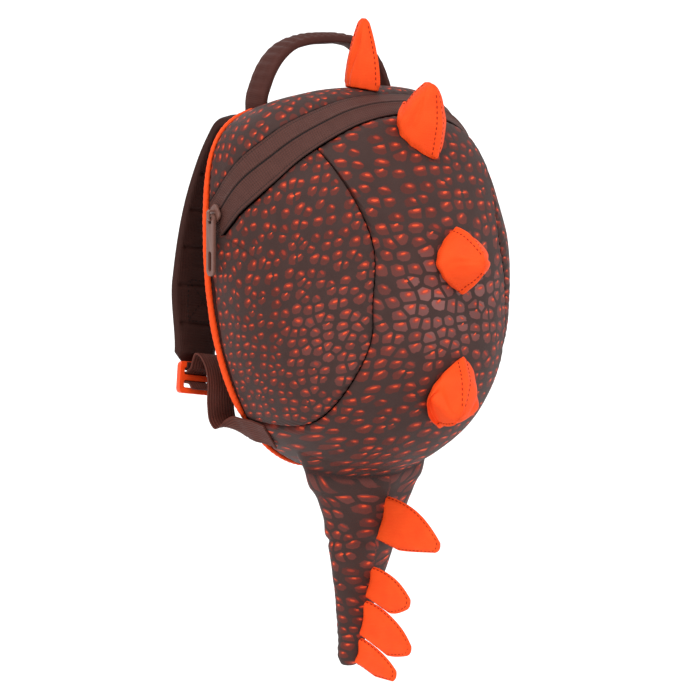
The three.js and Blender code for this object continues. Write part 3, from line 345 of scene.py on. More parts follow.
class Finish:
    """A material, to which nodes are added."""

    def __init__(self, name):
        self.material = bpy.data.materials.new(name)
        self.material.use_nodes = True
        self.tree = self.material.node_tree
        self.surface = self.tree.nodes["Principled BSDF"]

    def node(self, kind, settings, sockets, output=0):
        made = self.tree.nodes.new("ShaderNode" + kind)
        for key, value in settings.items():
            setattr(made, key, value)
        for key, value in sockets.items():
            self.put(made.inputs[key], value)
        return Value(self, made.outputs[output])

    def put(self, socket, value):
        if isinstance(value, Value):
            self.tree.links.new(value.socket, socket)
        else:
            socket.default_value = value

    def mix(self, share, first, second):
        """A colour between two."""
        return self.node("Mix", {"data_type": "RGBA"}, {0: share, 6: first, 7: second}, 2)

    def own_map(self, map_name):
        return self.node("UVMap", {"uv_map": map_name}, {})

    def parts(self, vector):
        split = self.tree.nodes.new("ShaderNodeSeparateXYZ")
        self.put(split.inputs[0], vector)
        return [Value(self, out) for out in split.outputs]

    def wave(self, along, period):
        """A ripple from -1 to 1 with that period."""
        return (along * (2 * pi / period)).maths("SINE", along * (2 * pi / period))

    def noise(self, place, scale, detail=2.0):
        return self.node("TexNoise", {}, {"Vector": place, "Scale": scale, "Detail": detail})

    def object_place(self):
        return self.node("TexCoord", {}, {}, "Object")

    def dress(self, colour, roughness, height=None, distance=0.0, strength=1.0, **settings):
        """Sets the surface. Height is in shares of the distance in metres; settings are other sockets."""
        self.put(self.surface.inputs["Base Color"], colour)
        self.put(self.surface.inputs["Roughness"], roughness)
        for key, value in settings.items():
            self.surface.inputs[key.replace("_", " ")].default_value = value
        if height is not None:
            bump = self.node("Bump", {}, {"Height": height, "Distance": distance, "Strength": strength})
            self.put(self.surface.inputs["Normal"], bump)
        return self.material


def paint(red, green, blue):
    """A colour as the eye sees it, 0 to 255, in the renderer's own numbers."""
    seen = (red, green, blue)
    return (*(((c / 255 + 0.055) / 1.055) ** 2.4 if c > 10 else c / 255 / 12.92 for c in seen), 1.0)


def darker(colour, share):
    """The same colour with that share of its light."""
    return (*(share * c for c in colour[:3]), 1.0)


def printed_cloth(name):
    """Polyester printed with reptile scales. The map called print counts scales; the map called zone says
    how pale the scales are, and how near a seam the cloth is, which sets the painted shade in the seams; the
    map called cloth is in millimetres."""
    f = Finish(name)
    # Each scale is a cell with its own size and luck, round a middle that is a little out of line.
    place = f.own_map("print")
    pale, seam, _ = f.parts(f.own_map("zone"))
    cells = {"Vector": place, "Scale": 1.0, "Randomness": 0.68}
    scale = {"voronoi_dimensions": "2D"}
    near = f.node("TexVoronoi", scale, cells, "Distance")
    middle = f.node("TexVoronoi", scale, cells, "Position")
    luck_a, luck_b, luck_c = f.parts(f.node("TexVoronoi", scale, cells, "Color"))
    border = f.node("TexVoronoi", {**scale, "feature": "DISTANCE_TO_EDGE"}, cells, "Distance")
    across, up, _ = f.parts(f.node("VectorMath", {"operation": "SUBTRACT"}, {0: place, 1: middle}))
    uneven = f.noise(place, 5.0, 1.0) - 0.5
    size = 0.31 + luck_a * 0.19 + pale * 0.12
    body = border.step(0.085, 0.15) * (near + uneven * 0.2 - size).step(0.05, -0.04)
    # A bright fleck lies aslant on the upper part of each scale, in a glow of its own.
    lean = (luck_b * 2.4 - 1.2) * 0.8
    fleck_x, fleck_y = across - 0.12 + luck_c * 0.12, up - 0.17
    long_way = (fleck_x + fleck_y * lean) / (0.1 + luck_c * 0.12)
    short_way = (fleck_y - fleck_x * lean) / (0.06 + luck_a * 0.05)
    fleck_off = long_way * long_way + short_way * short_way + uneven * 0.8
    fleck = fleck_off.step(1.05, 0.6) * luck_b.step(0.03, 0.1)
    glow = fleck_off.step(7.0, 0.8) * body
    ground = f.mix(f.noise(place, 0.7, 2.0), paint(52, 32, 28), paint(64, 43, 39))
    red = f.mix(luck_b, paint(90, 28, 17), paint(114, 38, 25))
    mauve = f.mix(luck_c, paint(114, 64, 60), paint(146, 96, 92))
    scales = f.mix(pale, red, mauve)
    scales = f.mix((up * 1.6 + 0.45).step(0.0, 1.0) * 0.35, f.mix(0.25, scales, ground), scales)
    colour = f.mix(body * (0.78 + pale * 0.22), ground, scales)
    colour = f.mix(glow * 0.6, colour, paint(166, 48, 26))
    colour = f.mix(fleck * (0.55 + luck_b * 0.45), colour, paint(232, 82, 40))
    # Painted shade: the cloth darkens to near black close to each seam, where the seam's groove lies.
    colour = f.mix(seam * 0.8, colour, paint(16, 9, 8))
    # The weave's twill shows as fine crossing ribs.
    run, rise, _ = f.parts(f.own_map("cloth"))
    twill = f.wave(run + rise, 1.1) * 0.5 + f.wave(run - rise, 1.1) * 0.5
    colour = f.mix(twill * 0.06 + 0.08, colour, paint(20, 14, 14))
    height = twill * 0.5 + f.noise(f.own_map("cloth"), 0.35, 3.0)
    return f.dress(colour, 0.66, height, 0.0002, 0.55, Specular_IOR_Level=0.22)


print_finish = printed_cloth("printed_cloth")

# The front's middle line from foot to top, by which flat print is laid on the dome.
line_reach = np.linspace(0, 1, 200)
middle_line = np.concatenate((skin(180, line_reach), skin(0, line_reach[::-1])))


def flat_front(points):
    """Where a point of the front was on the flat cloth: across and up, in millimetres from the nose."""
    depth = -points[:, 1]
    ridge = np.interp(points[:, 2], middle_line[:, 2], -middle_line[:, 1])
    across = points[:, 0] + np.sign(points[:, 0]) * 0.7 * np.maximum(ridge - depth, 0)
    nose = BODY_HEIGHT * SLICES[-1, 1]
    up = points[:, 2] - nose + np.where(points[:, 2] > nose, 0.6, -0.3) * (BODY_DEPTH - ridge)
    return across, up


def print_slip(points, size):
    """How far the print has slipped, from -1 to 1, in patches of about that size in millimetres."""
    return roughly(points, size, 3.7)


def front_print(points):
    """Oblong scales in rows: close and pale round the nose, wider above and below it."""
    across, up = flat_front(points)
    width = SCALE_WIDTH - NOSE_NARROWING * hump(up + 8, 42)
    drift = 4 * print_slip(points, 55)
    columns = (across + 9 * np.sin(up / 47)) / width
    rows = np.where(up > 0, up / HIGH_SCALE + 0.9 * np.tanh(up / 40), up / LOW_SCALE)
    pale = 1.2 * np.exp(-((up - 8) / 34) ** 2 - ((across + 4) / 58) ** 2)
    return columns + drift * 0.12 + 40, rows + drift * 0.1 + 40, pale


def front_edge(bearing):
    """The reach of the front panel's edge all round."""
    return np.maximum(np.maximum(side_seam(bearing), zip_front_edge(bearing)), back_edge(bearing))


front_bearing = even_bearings(-180, 180, front_edge)


def creased(points, distance, along, depth=PUCKER_DEPTH, pitch=PUCKER_PITCH, hold=PUCKER_REACH):
    """Puckers that run square to a seam and fade away from it."""
    swing = roughly(points, 26, 9.1)
    ripple = np.sin(2 * pi * along / pitch + 3.5 * swing) * (0.55 + 0.45 * roughly(points, 15, 2.2))
    return depth * ripple * np.exp(-np.maximum(distance, 0) / hold)


def lay_front(u, v):
    """Places on the front panel: u once round its edge, v from the edge to the nose."""
    bearing = front_bearing(u)
    low = front_edge(bearing)
    share = v**1.25
    reach = low + (1 - low) * share
    point, out = skin(bearing, reach), outward(bearing, reach)
    distance = share * (1 - low) * length_per_reach(bearing, (low + 1) / 2) * 0.97
    run = u * PANEL_SEAM_LENGTH
    dip = SEAM_DIP * (1 - rolled(distance, SEAM_ROLL))
    relief = creased(point, distance, run) + BROAD_LUMP * roughly(point, 48, 5.0)
    relief = (relief + SMALL_LUMP * roughly(point, 18, 1.0)) * np.clip((1 - reach) / 0.06 + 0.4, 0, 1)
    across, up = flat_front(point)
    columns, rows, pale = front_print(point)
    # How near the seam the cloth is: this sets the painted shade that darkens the seam's groove.
    seam = np.exp(-np.maximum(distance, 0) / SEAM_SHADE_WIDTH)
    return point + out * (relief - dip)[:, None], {
        "print": (columns, rows), "zone": (pale, seam), "cloth": (across, up)
    }


front_grid = laid_grid(380, 88, lay_front)
front_panel = mesh_object("front_panel_cloth", front_grid, print_finish, PANEL_THICKNESS)
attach(front_panel, "bag")
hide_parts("front_panel")


# Side panels
# Oval panels of the same padded cloth, let into the pouch's sides between the front panel, the zip and
# the piping. Their seam is a narrow valley, darkened with painted shade, with the padding puffing up on both
# sides of it.
SIDE_SEAM_LENGTH = 330.0
REAR_PUCKERS = (0.3, 7.0, 9.0)
PRINT_CORNER = (-34.0, 18.0)
SMALLEST_SCALE, SCALE_GROWTH, GROWTH_LENGTH = 3.6, 6.4, 60.0


def side_rear(bearing):
    """The reach of a side panel's edge at the zip and the piping."""
    return np.maximum(zip_front_edge(bearing), back_edge(bearing))


def seam_inset(bearing):
    """The reach of a side panel's edge at the front panel, a seam's gap inside the seam."""
    short = SEAM_GAP / (SIDE_SEAM_HALF_SPAN * pi * BODY_WIDTH / 360)
    return side_seam(SIDE_SEAM_CENTRE + (np.abs(bearing) - SIDE_SEAM_CENTRE) * (1 + short)) * (1 - short)


def crossing(start, end, difference):
    """The bearing between two where a difference changes its sign."""
    near, far, sign = start, end, difference(np.array([start]))[0] > 0
    for _ in range(40):
        middle = (near + far) / 2
        if (difference(np.array([middle]))[0] > 0) == sign:
            near = middle
        else:
            far = middle
    return near


side_top, side_foot = (
    crossing(SIDE_SEAM_CENTRE, SIDE_SEAM_CENTRE + end, lambda b: seam_inset(b) - side_rear(b))
    for end in (-SIDE_SEAM_HALF_SPAN, SIDE_SEAM_HALF_SPAN)
)
side_bearing = even_bearings(side_top, side_foot, seam_inset)


def side_print(points):
    """Small scales round the panel's lower back corner, which grow on the way out from it."""
    forward = -points[:, 1] + 0.6 * (BODY_WIDTH / 2 - np.abs(points[:, 0]))
    height = points[:, 2]
    over, above = forward - PRINT_CORNER[0], height - PRINT_CORNER[1]
    far = np.hypot(over, above)
    drift = print_slip(points, 40)
    steps = np.linspace(0, 400, 400)
    counted = np.cumsum(1 / (SMALLEST_SCALE + SCALE_GROWTH * (1 - np.exp(-steps / GROWTH_LENGTH))))
    scales = np.interp(far, steps, counted) / far
    fan, ring = over * scales + drift * 0.3, above * scales * 1.12 + drift * 0.3
    pale = 0.35 * ramp(forward - 66, 30) * hump(height - 100, 50)
    return fan + 20, ring + 70, pale, forward, height


def lay_side(hand):
    """Places on a side panel: u down along its seam, v from the back forwards. hand is -1 or 1."""

    def lay(u, v):
        bearing = side_bearing(u)
        low = side_rear(bearing)
        high = np.maximum(seam_inset(bearing), low)
        share = 0.5 - 0.5 * np.cos(pi * v) * (0.72 + 0.28 * np.abs(np.cos(pi * v)))
        reach = low + (high - low) * share
        point, out = skin(bearing * hand, reach), outward(bearing * hand, reach)
        span = (high - low) * length_per_reach(bearing * hand, (low + high) / 2)
        distance = np.minimum(share, 1 - share) * span
        dip = SEAM_DIP * (1 - rolled(distance, SEAM_ROLL))
        run = u * SIDE_SEAM_LENGTH
        front_relief, rear_relief = (creased(point, distance, run, *size) for size in ((), REAR_PUCKERS))
        relief = np.where(share > 0.5, front_relief, rear_relief)
        relief = relief + BROAD_LUMP * roughly(point, 44, 8.0) + SMALL_LUMP * roughly(point, 17, 2.0)
        relief = relief * ramp(span, 12)
        columns, rows, pale, forward, height = side_print(point)
        # How near the seam the cloth is: this sets the painted shade that darkens the seam's groove.
        seam = np.exp(-distance / SEAM_SHADE_WIDTH)
        return point + out * (relief - dip)[:, None], {
            "print": (columns + 30 * hand, rows), "zone": (pale, seam), "cloth": (forward, height)
        }

    return lay


for side, hand in (("left", -1), ("right", 1)):
    side_grid = laid_grid(210, 96, lay_side(hand))
    panel = mesh_object("side_panel_cloth_" + side, side_grid, print_finish, PANEL_THICKNESS)
    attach(panel, "bag")
    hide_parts("side_panel_" + side)


# Top gusset
# The strip over the top of the pouch between the back edge and the zip, cut from the printed cloth.
# It is slack between its seams, so it lies in shallow folds beside the handle.
GUSSET_LENGTH, GUSSET_DIP, GUSSET_ROLL, GUSSET_PUCKERS = 330.0, 1.3, 6.0, (0.35, 8.0, 10.0)
GUSSET_SCALE = (8.5, 7.5)


def zip_rear_edge(bearing):
    """The reach of the seam behind the zip."""
    return beside_zip(bearing, -ZIP_TAPE_WIDTH / 2 - SEAM_GAP)


gusset_end = crossing(0, 88, lambda b: zip_rear_edge(b) - back_edge(b))
gusset_bearing = even_bearings(-gusset_end, gusset_end, zip_rear_edge)


def lay_gusset(u, v):
    """Places on the gusset: u from side to side over the top, v from the back forwards."""
    bearing = gusset_bearing(u)
    low = back_edge(bearing)
    high = np.maximum(zip_rear_edge(bearing), low)
    share = 0.5 - 0.5 * np.cos(pi * v)
    reach = low + (high - low) * share
    point, out = skin(bearing, reach), outward(bearing, reach)
    span = (high - low) * length_per_reach(bearing, (low + high) / 2)
    distance = np.minimum(share, 1 - share) * span
    run = u * GUSSET_LENGTH
    relief = creased(point, distance, run, *GUSSET_PUCKERS)
    relief += 0.8 * roughly(point, 30, 4.0) * ramp(distance, 8)
    dip = GUSSET_DIP * (1 - rolled(distance, GUSSET_ROLL))
    columns = run / GUSSET_SCALE[0] + 0.3 * print_slip(point, 30)
    rows = -point[:, 1] / GUSSET_SCALE[1] + 0.3 * print_slip(point, 30)
    return point + out * (relief - dip)[:, None], {
        "print": (columns + 120, rows + 120),
        # Painted shade along both seams, from how near the seam the cloth is.
        "zone": (0 * u, np.exp(-distance / 0.6)),
        "cloth": (run, -point[:, 1]),
    }


gusset = mesh_object("top_gusset_cloth", laid_grid(240, 40, lay_gusset), print_finish, PANEL_THICKNESS)
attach(gusset, "bag")
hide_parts("top_gusset")


# Zip
# A reverse coil zip: two woven tapes whose folded edges meet over a nylon coil, so that only a fine
# toothed groove shows. Each tape is top-stitched along its outer edge.
TAPE_SINK, TAPE_THICKNESS, ZIP_LENGTH = 1.0, 1.2, 470.0
COIL_PITCH, STITCH_LINE, STITCH_PITCH = 1.7, 10.6, 2.9
zip_stop = crossing(88, 108, lambda b: beside_zip(b, ZIP_TAPE_WIDTH / 2) - back_edge(b))
zip_bearing = even_bearings(-zip_stop, zip_stop, lambda b: np.maximum(zip_at(np.abs(b))[..., 0], 0))


def lay_zip(u, v):
    """Places on the tapes: u from end to end, v across both, closer together at the groove."""
    bearing = zip_bearing(u)
    off = (v - 0.5) * ZIP_TAPE_WIDTH
    off = np.sign(off) * np.abs(off) ** 1.5 / (ZIP_TAPE_WIDTH / 2) ** 0.5
    line, edge = beside_zip(bearing, off), back_edge(bearing)
    reach = np.maximum(line, edge)
    point, out = skin(bearing, reach), outward(bearing, reach)
    run = u * ZIP_LENGTH
    away = np.abs(off)
    fold = 0.8 * hump(np.maximum(away - 1.1, 0), 1.4)
    groove = -0.75 * hump(off, 0.42)
    teeth = 0.22 * np.sin(2 * pi * run / COIL_PITCH) * hump(away - 0.7, 0.5)
    stitch = -0.25 * hump(away - STITCH_LINE, 0.5)
    relief = np.where(line > edge, fold + groove + teeth + stitch, 0) + 0.25 * roughly(point, 22, 6.0)
    return point + out * (relief - TAPE_SINK)[:, None], {"cloth": (run, off)}


def zip_cloth(name):
    """Ribbed tape with a toothed groove along its middle, darkest there as painted shade, a row of stitches
    near each edge, and painted shadow along its outer edges.
    """
    f = Finish(name)
    run, off, _ = f.parts(f.own_map("cloth"))
    away = off.maths("ABSOLUTE", off)
    ribs = f.wave(run + off * 0.35, 2.1) * 0.6 + f.wave(off, 1.5) * 0.4
    groove = away.step(0.75, 0.25)
    tooth = f.wave(run, COIL_PITCH).step(-0.2, 0.6) * away.step(1.25, 0.8) * away.step(0.1, 0.4)
    stitched = (run % STITCH_PITCH) / STITCH_PITCH
    beside_line = away - STITCH_LINE
    sewn = stitched.step(0.12, 0.2) * stitched.step(0.98, 0.9)
    sewn = sewn * beside_line.maths("ABSOLUTE", beside_line).step(0.42, 0.2)
    shade = f.noise(f.own_map("cloth"), 0.12, 3.0)
    colour = f.mix(shade, paint(72, 38, 31), paint(88, 50, 42))
    colour = f.mix(ribs * 0.26 + 0.26, colour, paint(46, 30, 26))
    colour = f.mix(tooth * 0.5, colour, paint(36, 22, 19))
    # Painted shade in the gap where the tapes' folded edges meet.
    colour = f.mix(groove, colour, paint(22, 13, 12))
    colour = f.mix(sewn * 0.75, colour, paint(44, 27, 24))
    # Painted shadow along each tape's outer edges, where it meets the panels beside it.
    colour = f.mix(away.step(11.6, 12.5) * 0.7, colour, paint(30, 19, 17))
    return f.dress(colour, 0.7, ribs + sewn * 1.5, 0.0003, 0.7, Specular_IOR_Level=0.25)


zip_grid = laid_grid(1100, 30, lay_zip)
zip_tape = mesh_object("zip_tape_woven", zip_grid, zip_cloth("zip_cloth"), TAPE_THICKNESS)
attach(zip_tape, "bag")
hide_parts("zip_tape")


# Zip slider and pull
# A small die-cast slider with a bridge, and a long cast tab with a slot, that hangs from the bridge by
# its eye. Both are stove-painted brown, and worn a little along their edges.
FLAT_ENOUGH, SHARP = radians(3), radians(38)


def softened(name, node, radius, finish):
    """A copy of a node's mesh with its edges rounded."""
    bm = bmesh.new()
    bm.from_mesh(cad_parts[node].data)
    bmesh.ops.remove_doubles(bm, verts=bm.verts, dist=1e-6)
    bmesh.ops.dissolve_limit(bm, angle_limit=FLAT_ENOUGH, verts=bm.verts, edges=bm.edges)
    sharp = [edge for edge in bm.edges if edge.is_manifold and edge.calc_face_angle(0) > SHARP]
    bmesh.ops.bevel(
        bm, geom=sharp, offset=radius * MM, offset_type="OFFSET", segments=3, profile=0.5,
        affect="EDGES", clamp_overlap=True, material=-1,
    )
    made = mesh_object(name, bm, finish)
    made.data.set_sharp_from_angle(angle=radians(40))
    return made


def painted_metal(name):
    """Brown stove paint on a casting, worn to the metal along its edges."""
    f = Finish(name)
    place = f.object_place()
    speckle = f.noise(place, 900.0, 3.0)
    edge = f.node("NewGeometry", {}, {}, "Pointiness").step(0.53, 0.6)
    worn = edge * f.noise(place, 300.0).step(0.4, 0.6)
    colour = f.mix(speckle, paint(96, 60, 50), paint(116, 76, 65))
    colour = f.mix(worn * 0.5, colour, paint(170, 145, 135))
    return f.dress(colour, 0.42, speckle, 0.0001, 0.4, Metallic=0.25)


CASTING_EDGE = 0.35
metal_finish = painted_metal("painted_metal")
for node, body in (("zip_slider", "bag"), ("zip_pull", "pull")):
    casting = softened(node + "_casting", node, CASTING_EDGE, metal_finish)
    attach(casting, body)
    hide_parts(node)


# Back panel
# The flat, foam-filled panel that lies on the child's back: dark brown polyester on the outside, stitched
# through the foam in channels so that air can pass.
BACK_PANEL_THICKNESS, BACK_PANEL_CROWN, BACK_FRONT = 6.0, 3.0, -1.5
CHANNEL_PITCH, BORDER_INSET, REAR_SHARE, INNER_SHARE = 36.0, 12.0, 0.8, 0.2
back_waist = BODY_HEIGHT * SLICES[0, 4]


def back_rear(share):
    """How far behind the back edge the crowned panel is, at a share of the way from its middle out."""
    return BACK_FRONT + BACK_PANEL_THICKNESS + BACK_PANEL_CROWN * (1 - share**4)


def back_edge_radius(bearing):
    """How far the panel's edge, inside the piping, is from its middle."""
    edge = skin(bearing, np.zeros_like(bearing))
    return np.hypot(edge[..., 0], edge[..., 2] - back_waist) - PIPING_RADIUS - CLEARANCE


def lay_back(u, v):
    bearing = -180 + u * 360
    # Up its rear face from the middle, over the edge, and back across its face inside the pouch.
    on_rear = v < REAR_SHARE
    share = np.where(on_rear, v / REAR_SHARE, (1 - v) / INNER_SHARE)
    share = np.where(on_rear, 1 - (1 - share) ** 1.6, share)
    radius = back_edge_radius(bearing) * share
    x, z = radius * np.sin(np.radians(bearing)), back_waist + radius * np.cos(np.radians(bearing))
    rear = back_rear(share)
    inset = back_edge_radius(bearing) * (1 - share)
    beside_channel = (x + CHANNEL_PITCH / 2) % CHANNEL_PITCH - CHANNEL_PITCH / 2
    channel = hump(beside_channel, 2.2) * ramp(inset - BORDER_INSET - 2, 4)
    border = hump(inset - BORDER_INSET, 2.0)
    plain = roughly(np.stack((x, 0 * x, z), -1), 30, 7.0) * 0.35
    rear = rear - 1.5 * np.maximum(channel, border) + plain - 2.2 * (1 - rolled(inset, 6))
    y = np.where(on_rear, rear, BACK_FRONT)
    return np.stack((x, y, z), -1), {"cloth": (x, z)}


def woven(name, low, high, pitch=1.1, roughness=0.75, depth=0.00015, ribs=0.0):
    """Plain woven cloth of one colour, with its yarn, a slight fade, and ribs along it if wanted."""
    f = Finish(name)
    place = f.own_map("cloth")
    run, off, _ = f.parts(place)
    yarn = f.wave(run + off * 0.15, pitch) * 0.5 + f.wave(off - run * 0.15, pitch) * 0.5
    height = yarn
    colour = f.mix(f.noise(place, 0.09, 3.0), low, high)
    colour = f.mix(yarn * 0.1 + 0.1, colour, darker(low, 0.5))
    if ribs:
        rib = f.wave(off, ribs)
        height = yarn * 0.4 + rib
        colour = f.mix(rib.step(0.2, -0.9) * 0.55, colour, darker(low, 0.35))
    return f.dress(colour, roughness, height, depth, 0.6, Specular_IOR_Level=0.2)


brown_finish = woven("brown_cloth", paint(60, 28, 22), paint(76, 39, 32))
back_panel = mesh_object("back_panel_padded", laid_grid(260, 90, lay_back), brown_finish)
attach(back_panel, "bag")
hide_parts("back_panel")


# Piping
# A cord covered in bright orange cloth cut on the slant, sewn in all round the back edge. The cover
# twists a little, so fine wrinkles run slantwise over it.
PIPING_SLIM, PIPING_TUCK = 0.66, 1.4
even_piping = even_bearings(-180, 180, np.zeros_like)


def lay_piping(u, v):
    """Places on the piping: slimmer and tucked in over the top and the foot, bold at the sides."""
    bearing = even_piping(u)
    point = skin(bearing, np.zeros_like(bearing))
    along = unit(skin(bearing + 0.5, 0 * bearing) - skin(bearing - 0.5, 0 * bearing))
    across = unit(np.cross(along, (0, 1, 0)))
    turn = v * 2 * pi
    run = u * PANEL_SEAM_LENGTH
    slant = 2 * pi * run / 4.6 + turn * 2 + 2 * roughly(point, 30)
    wrinkle = 0.12 * np.sin(slant) + 0.1 * roughly(point, 9, 5.5)
    bold = ramp(np.abs(bearing) - 62, 24) * ramp(158 - np.abs(bearing), 14)
    full = PIPING_SLIM + (1 - PIPING_SLIM) * bold
    radius = PIPING_RADIUS * full + wrinkle + 0.3 * roughly(point, 17, 2.5)
    inwards = unit(np.stack((point[:, 0], 0 * u, point[:, 2] - back_waist), -1)) * -PIPING_TUCK
    point = point + inwards * (1 - bold)[:, None]
    ring = across * np.cos(turn)[:, None] + np.array((0, 1, 0)) * np.sin(turn)[:, None]
    return point + ring * radius[:, None], {"cloth": (run, turn * PIPING_RADIUS)}


orange_finish = woven("orange_cloth", paint(232, 64, 12), paint(246, 84, 24), 0.95, 0.72, 0.00012)
piping = mesh_object("piping_cord", laid_grid(700, 14, lay_piping), orange_finish)
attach(piping, "bag")
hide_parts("piping")


# Grab handle
# A padded band of brown cloth, folded round foam and closed by a row of stitches on each flat side. Bent
# into its arch, it puckers all along the underside. Its legs are sewn in behind the top gusset.
def curve_points(stops):
    """A dense, evenly spaced smooth line through stops."""
    stops = np.asarray(stops, float)
    padded = np.concatenate(([2 * stops[0] - stops[1]], stops, [2 * stops[-1] - stops[-2]]))
    line = []
    for k in range(len(stops) - 1):
        p0, p1, p2, p3 = padded[k : k + 4]
        t0, t1, t2 = (np.linalg.norm(b - a) ** 0.5 for a, b in ((p0, p1), (p1, p2), (p2, p3)))
        m1 = ((p1 - p0) / t0 - (p2 - p0) / (t0 + t1) + (p2 - p1) / t1) * t1
        m2 = ((p2 - p1) / t1 - (p3 - p1) / (t1 + t2) + (p3 - p2) / t2) * t1
        w = np.linspace(0, 1, 60, endpoint=False)[:, None]
        line.append(p1 + m1 * w + (3 * (p2 - p1) - 2 * m1 - m2) * w**2 + (2 * (p1 - p2) + m1 + m2) * w**3)
    return np.concatenate((*line, stops[-1:]))


def covered_to(line):
    """The length of a line up to each of its points."""
    return np.concatenate(([0], np.cumsum(np.linalg.norm(np.diff(line, axis=0), axis=1))))


def read_at(run, covered, rows):
    """Rows of numbers, such as points, between the lengths at which they are known."""
    return np.stack([np.interp(run, covered, column) for column in rows.T], -1)


def along_line(line, share):
    """Places and directions at shares of a line's length, and the length."""
    covered = covered_to(line)
    at, ahead, behind = (
        read_at(place * covered[-1], covered, line)
        for place in (share, np.minimum(share + 0.004, 1), np.maximum(share - 0.004, 0))
    )
    return at, unit(ahead - behind), covered[-1]


def squared(turn, power):
    """Cosine and sine of a turn round a squared-off circle."""
    c, s = np.cos(turn), np.sin(turn)
    out = (np.abs(c) ** power + np.abs(s) ** power) ** (-1 / power)
    return c * out, s * out


def capped(u, share=0.02):
    """Ends of a band drawn in to close it: the share of the way along, and how open the ring is."""
    return ramp(u - share, 1 - 2 * share), ramp(np.minimum(u, 1 - u), share)


HANDLE_SPAN, HANDLE_RISE, HANDLE_BREADTH, HANDLE_THICKNESS, HANDLE_Y = 115.0, 40.5, 18.0, 7.0, -1.0
HANDLE_PUCKER_PITCH, HANDLE_SQUARENESS, LEG_DEPTH, LEG_SPLAY = 6.4, 3.2, 6.0, 0.6
handle_foot = BODY_HEIGHT * SLICES[0, 1]
# Half of the arch, in shares of its half span and its rise.
handle_half = [(-1, 0.1), (-0.95, 0.28), (-0.86, 0.52), (-0.73, 0.73), (-0.54, 0.9), (-0.28, 0.985)]
handle_stops = [(a * HANDLE_SPAN / 2, HANDLE_Y, handle_foot + r * HANDLE_RISE) for a, r in handle_half]
handle_crown = (0, HANDLE_Y, handle_foot + HANDLE_RISE)
handle_stops += [handle_crown] + [(-x, y, z) for x, y, z in reversed(handle_stops)]
# Each leg goes down past its seam, inside the pouch's back edge.
top_edge = skin(np.linspace(-89, 0, 300), np.zeros(300))
leg_foot = np.interp(-HANDLE_SPAN / 2, top_edge[:, 0], top_edge[:, 2]) - LEG_DEPTH
leg_out = HANDLE_SPAN / 2 + LEG_SPLAY
handle_line = curve_points([(-leg_out, HANDLE_Y, leg_foot), *handle_stops, (leg_out, HANDLE_Y, leg_foot)])


def lay_handle(u, v):
    """Places on the handle: u from foot to foot, v once round its rounded section."""
    share, opened = capped(u)
    at, along, length = along_line(handle_line, share)
    thick = unit(np.cross(along, (0, 1, 0)))
    c, s = squared(v * 2 * pi, HANDLE_SQUARENESS)
    run = share * length
    underside = np.clip(s, 0, 1) ** 2 * np.clip(1 - np.abs(share - 0.5) * 1.7, 0, 1)
    pucker = 0.75 * np.sin(2 * pi * run / HANDLE_PUCKER_PITCH + 2 * roughly(at, 21)) * underside
    groove = -0.55 * hump(np.abs(c) - 0.72, 0.1) * (np.abs(s) > 0.6)
    lumps = 0.2 * roughly(at + np.outer(c, (9, 9, 9)), 14)
    half = HANDLE_THICKNESS / 2 + (pucker + groove + lumps) * (s != 0)
    point = at + np.outer(c * HANDLE_BREADTH / 2, (0, 1, 0)) * opened[:, None]
    return point + thick * (s * half * opened)[:, None], {"cloth": (run, c * HANDLE_BREADTH / 2 + s * 4)}


handle = mesh_object("grab_handle_padded", laid_grid(300, 40, lay_handle), brown_finish)
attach(handle, "bag")
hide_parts("grab_handle")


# Spikes
# Four small pouches of orange cloth, each sewn from a left and a right piece and stuffed with wadding.
# The seam between the two stands up as a narrow lip, top-stitched, and the foot is gathered into the bag.
SPIKE_HEIGHT, SPIKE_FOOT, SPIKE_SQUARENESS = 50.0, 36.0, 1.5
FOOT_SHARE, SEAM_LIP, STITCH_ASIDE, STITCHED = 0.06, 1.9, 0.028, (0.12, 0.95)
# For each spike: the reach of its foot, under the nose where it is below 0; its length up the bag and its
# width, as shares of SPIKE_FOOT; its lean and its turn aside, in degrees; and its share of SPIKE_HEIGHT.
SPIKES = (
    (0.205, 0.78, 0.56, 88, 0, 0.9),
    (0.515, 0.98, 1.06, 66, 6, 0.72),
    (0.895, 1.06, 1.12, 0, 9, 0.57),
    (-0.8, 1.16, 1.1, -34, 28, 0.54),
)
# Sections of a spike: the share of its height, and the share of its length and its width there.
SPIKE_SECTIONS = np.array((
    (0.0, 1.0, 0.94),
    (0.14, 1.02, 1.0),
    (0.32, 0.93, 0.93),
    (0.5, 0.78, 0.78),
    (0.68, 0.6, 0.6),
    (0.84, 0.4, 0.4),
    (0.95, 0.23, 0.2),
    (1.0, 0.1, 0.09),
))
spike_at = smooth_rows(SPIKE_SECTIONS[:, 0], SPIKE_SECTIONS[:, 1:])


def eased(share):
    """A share from 0 to 1 that starts and ends gently."""
    return share * share * (3 - 2 * share)


def is_inside(points):
    """Whether each point is inside the pouch's skin."""
    depth = np.clip(-points[:, 1] / BODY_DEPTH, 0, 1)
    rows = slice_at(np.arcsin(depth) / (pi / 2))
    over, above = points[:, 0], points[:, 2] - BODY_HEIGHT * rows[:, 3]
    inside = np.hypot(over, above) < slice_radius(rows, np.arctan2(over, above))
    return inside & (points[:, 1] <= 0) & (points[:, 1] >= -BODY_DEPTH)


def seated(points, direction, lift):
    """The points moved along a direction until they rest on the pouch."""
    start = points - direction * 45
    near, far = np.zeros(len(points)), np.full(len(points), BODY_HEIGHT)
    for _ in range(36):
        middle = (near + far) / 2
        inside = is_inside(start + direction * middle[:, None])
        near, far = np.where(inside, middle, near), np.where(inside, far, middle)
    return start + direction * (near + lift)[:, None]


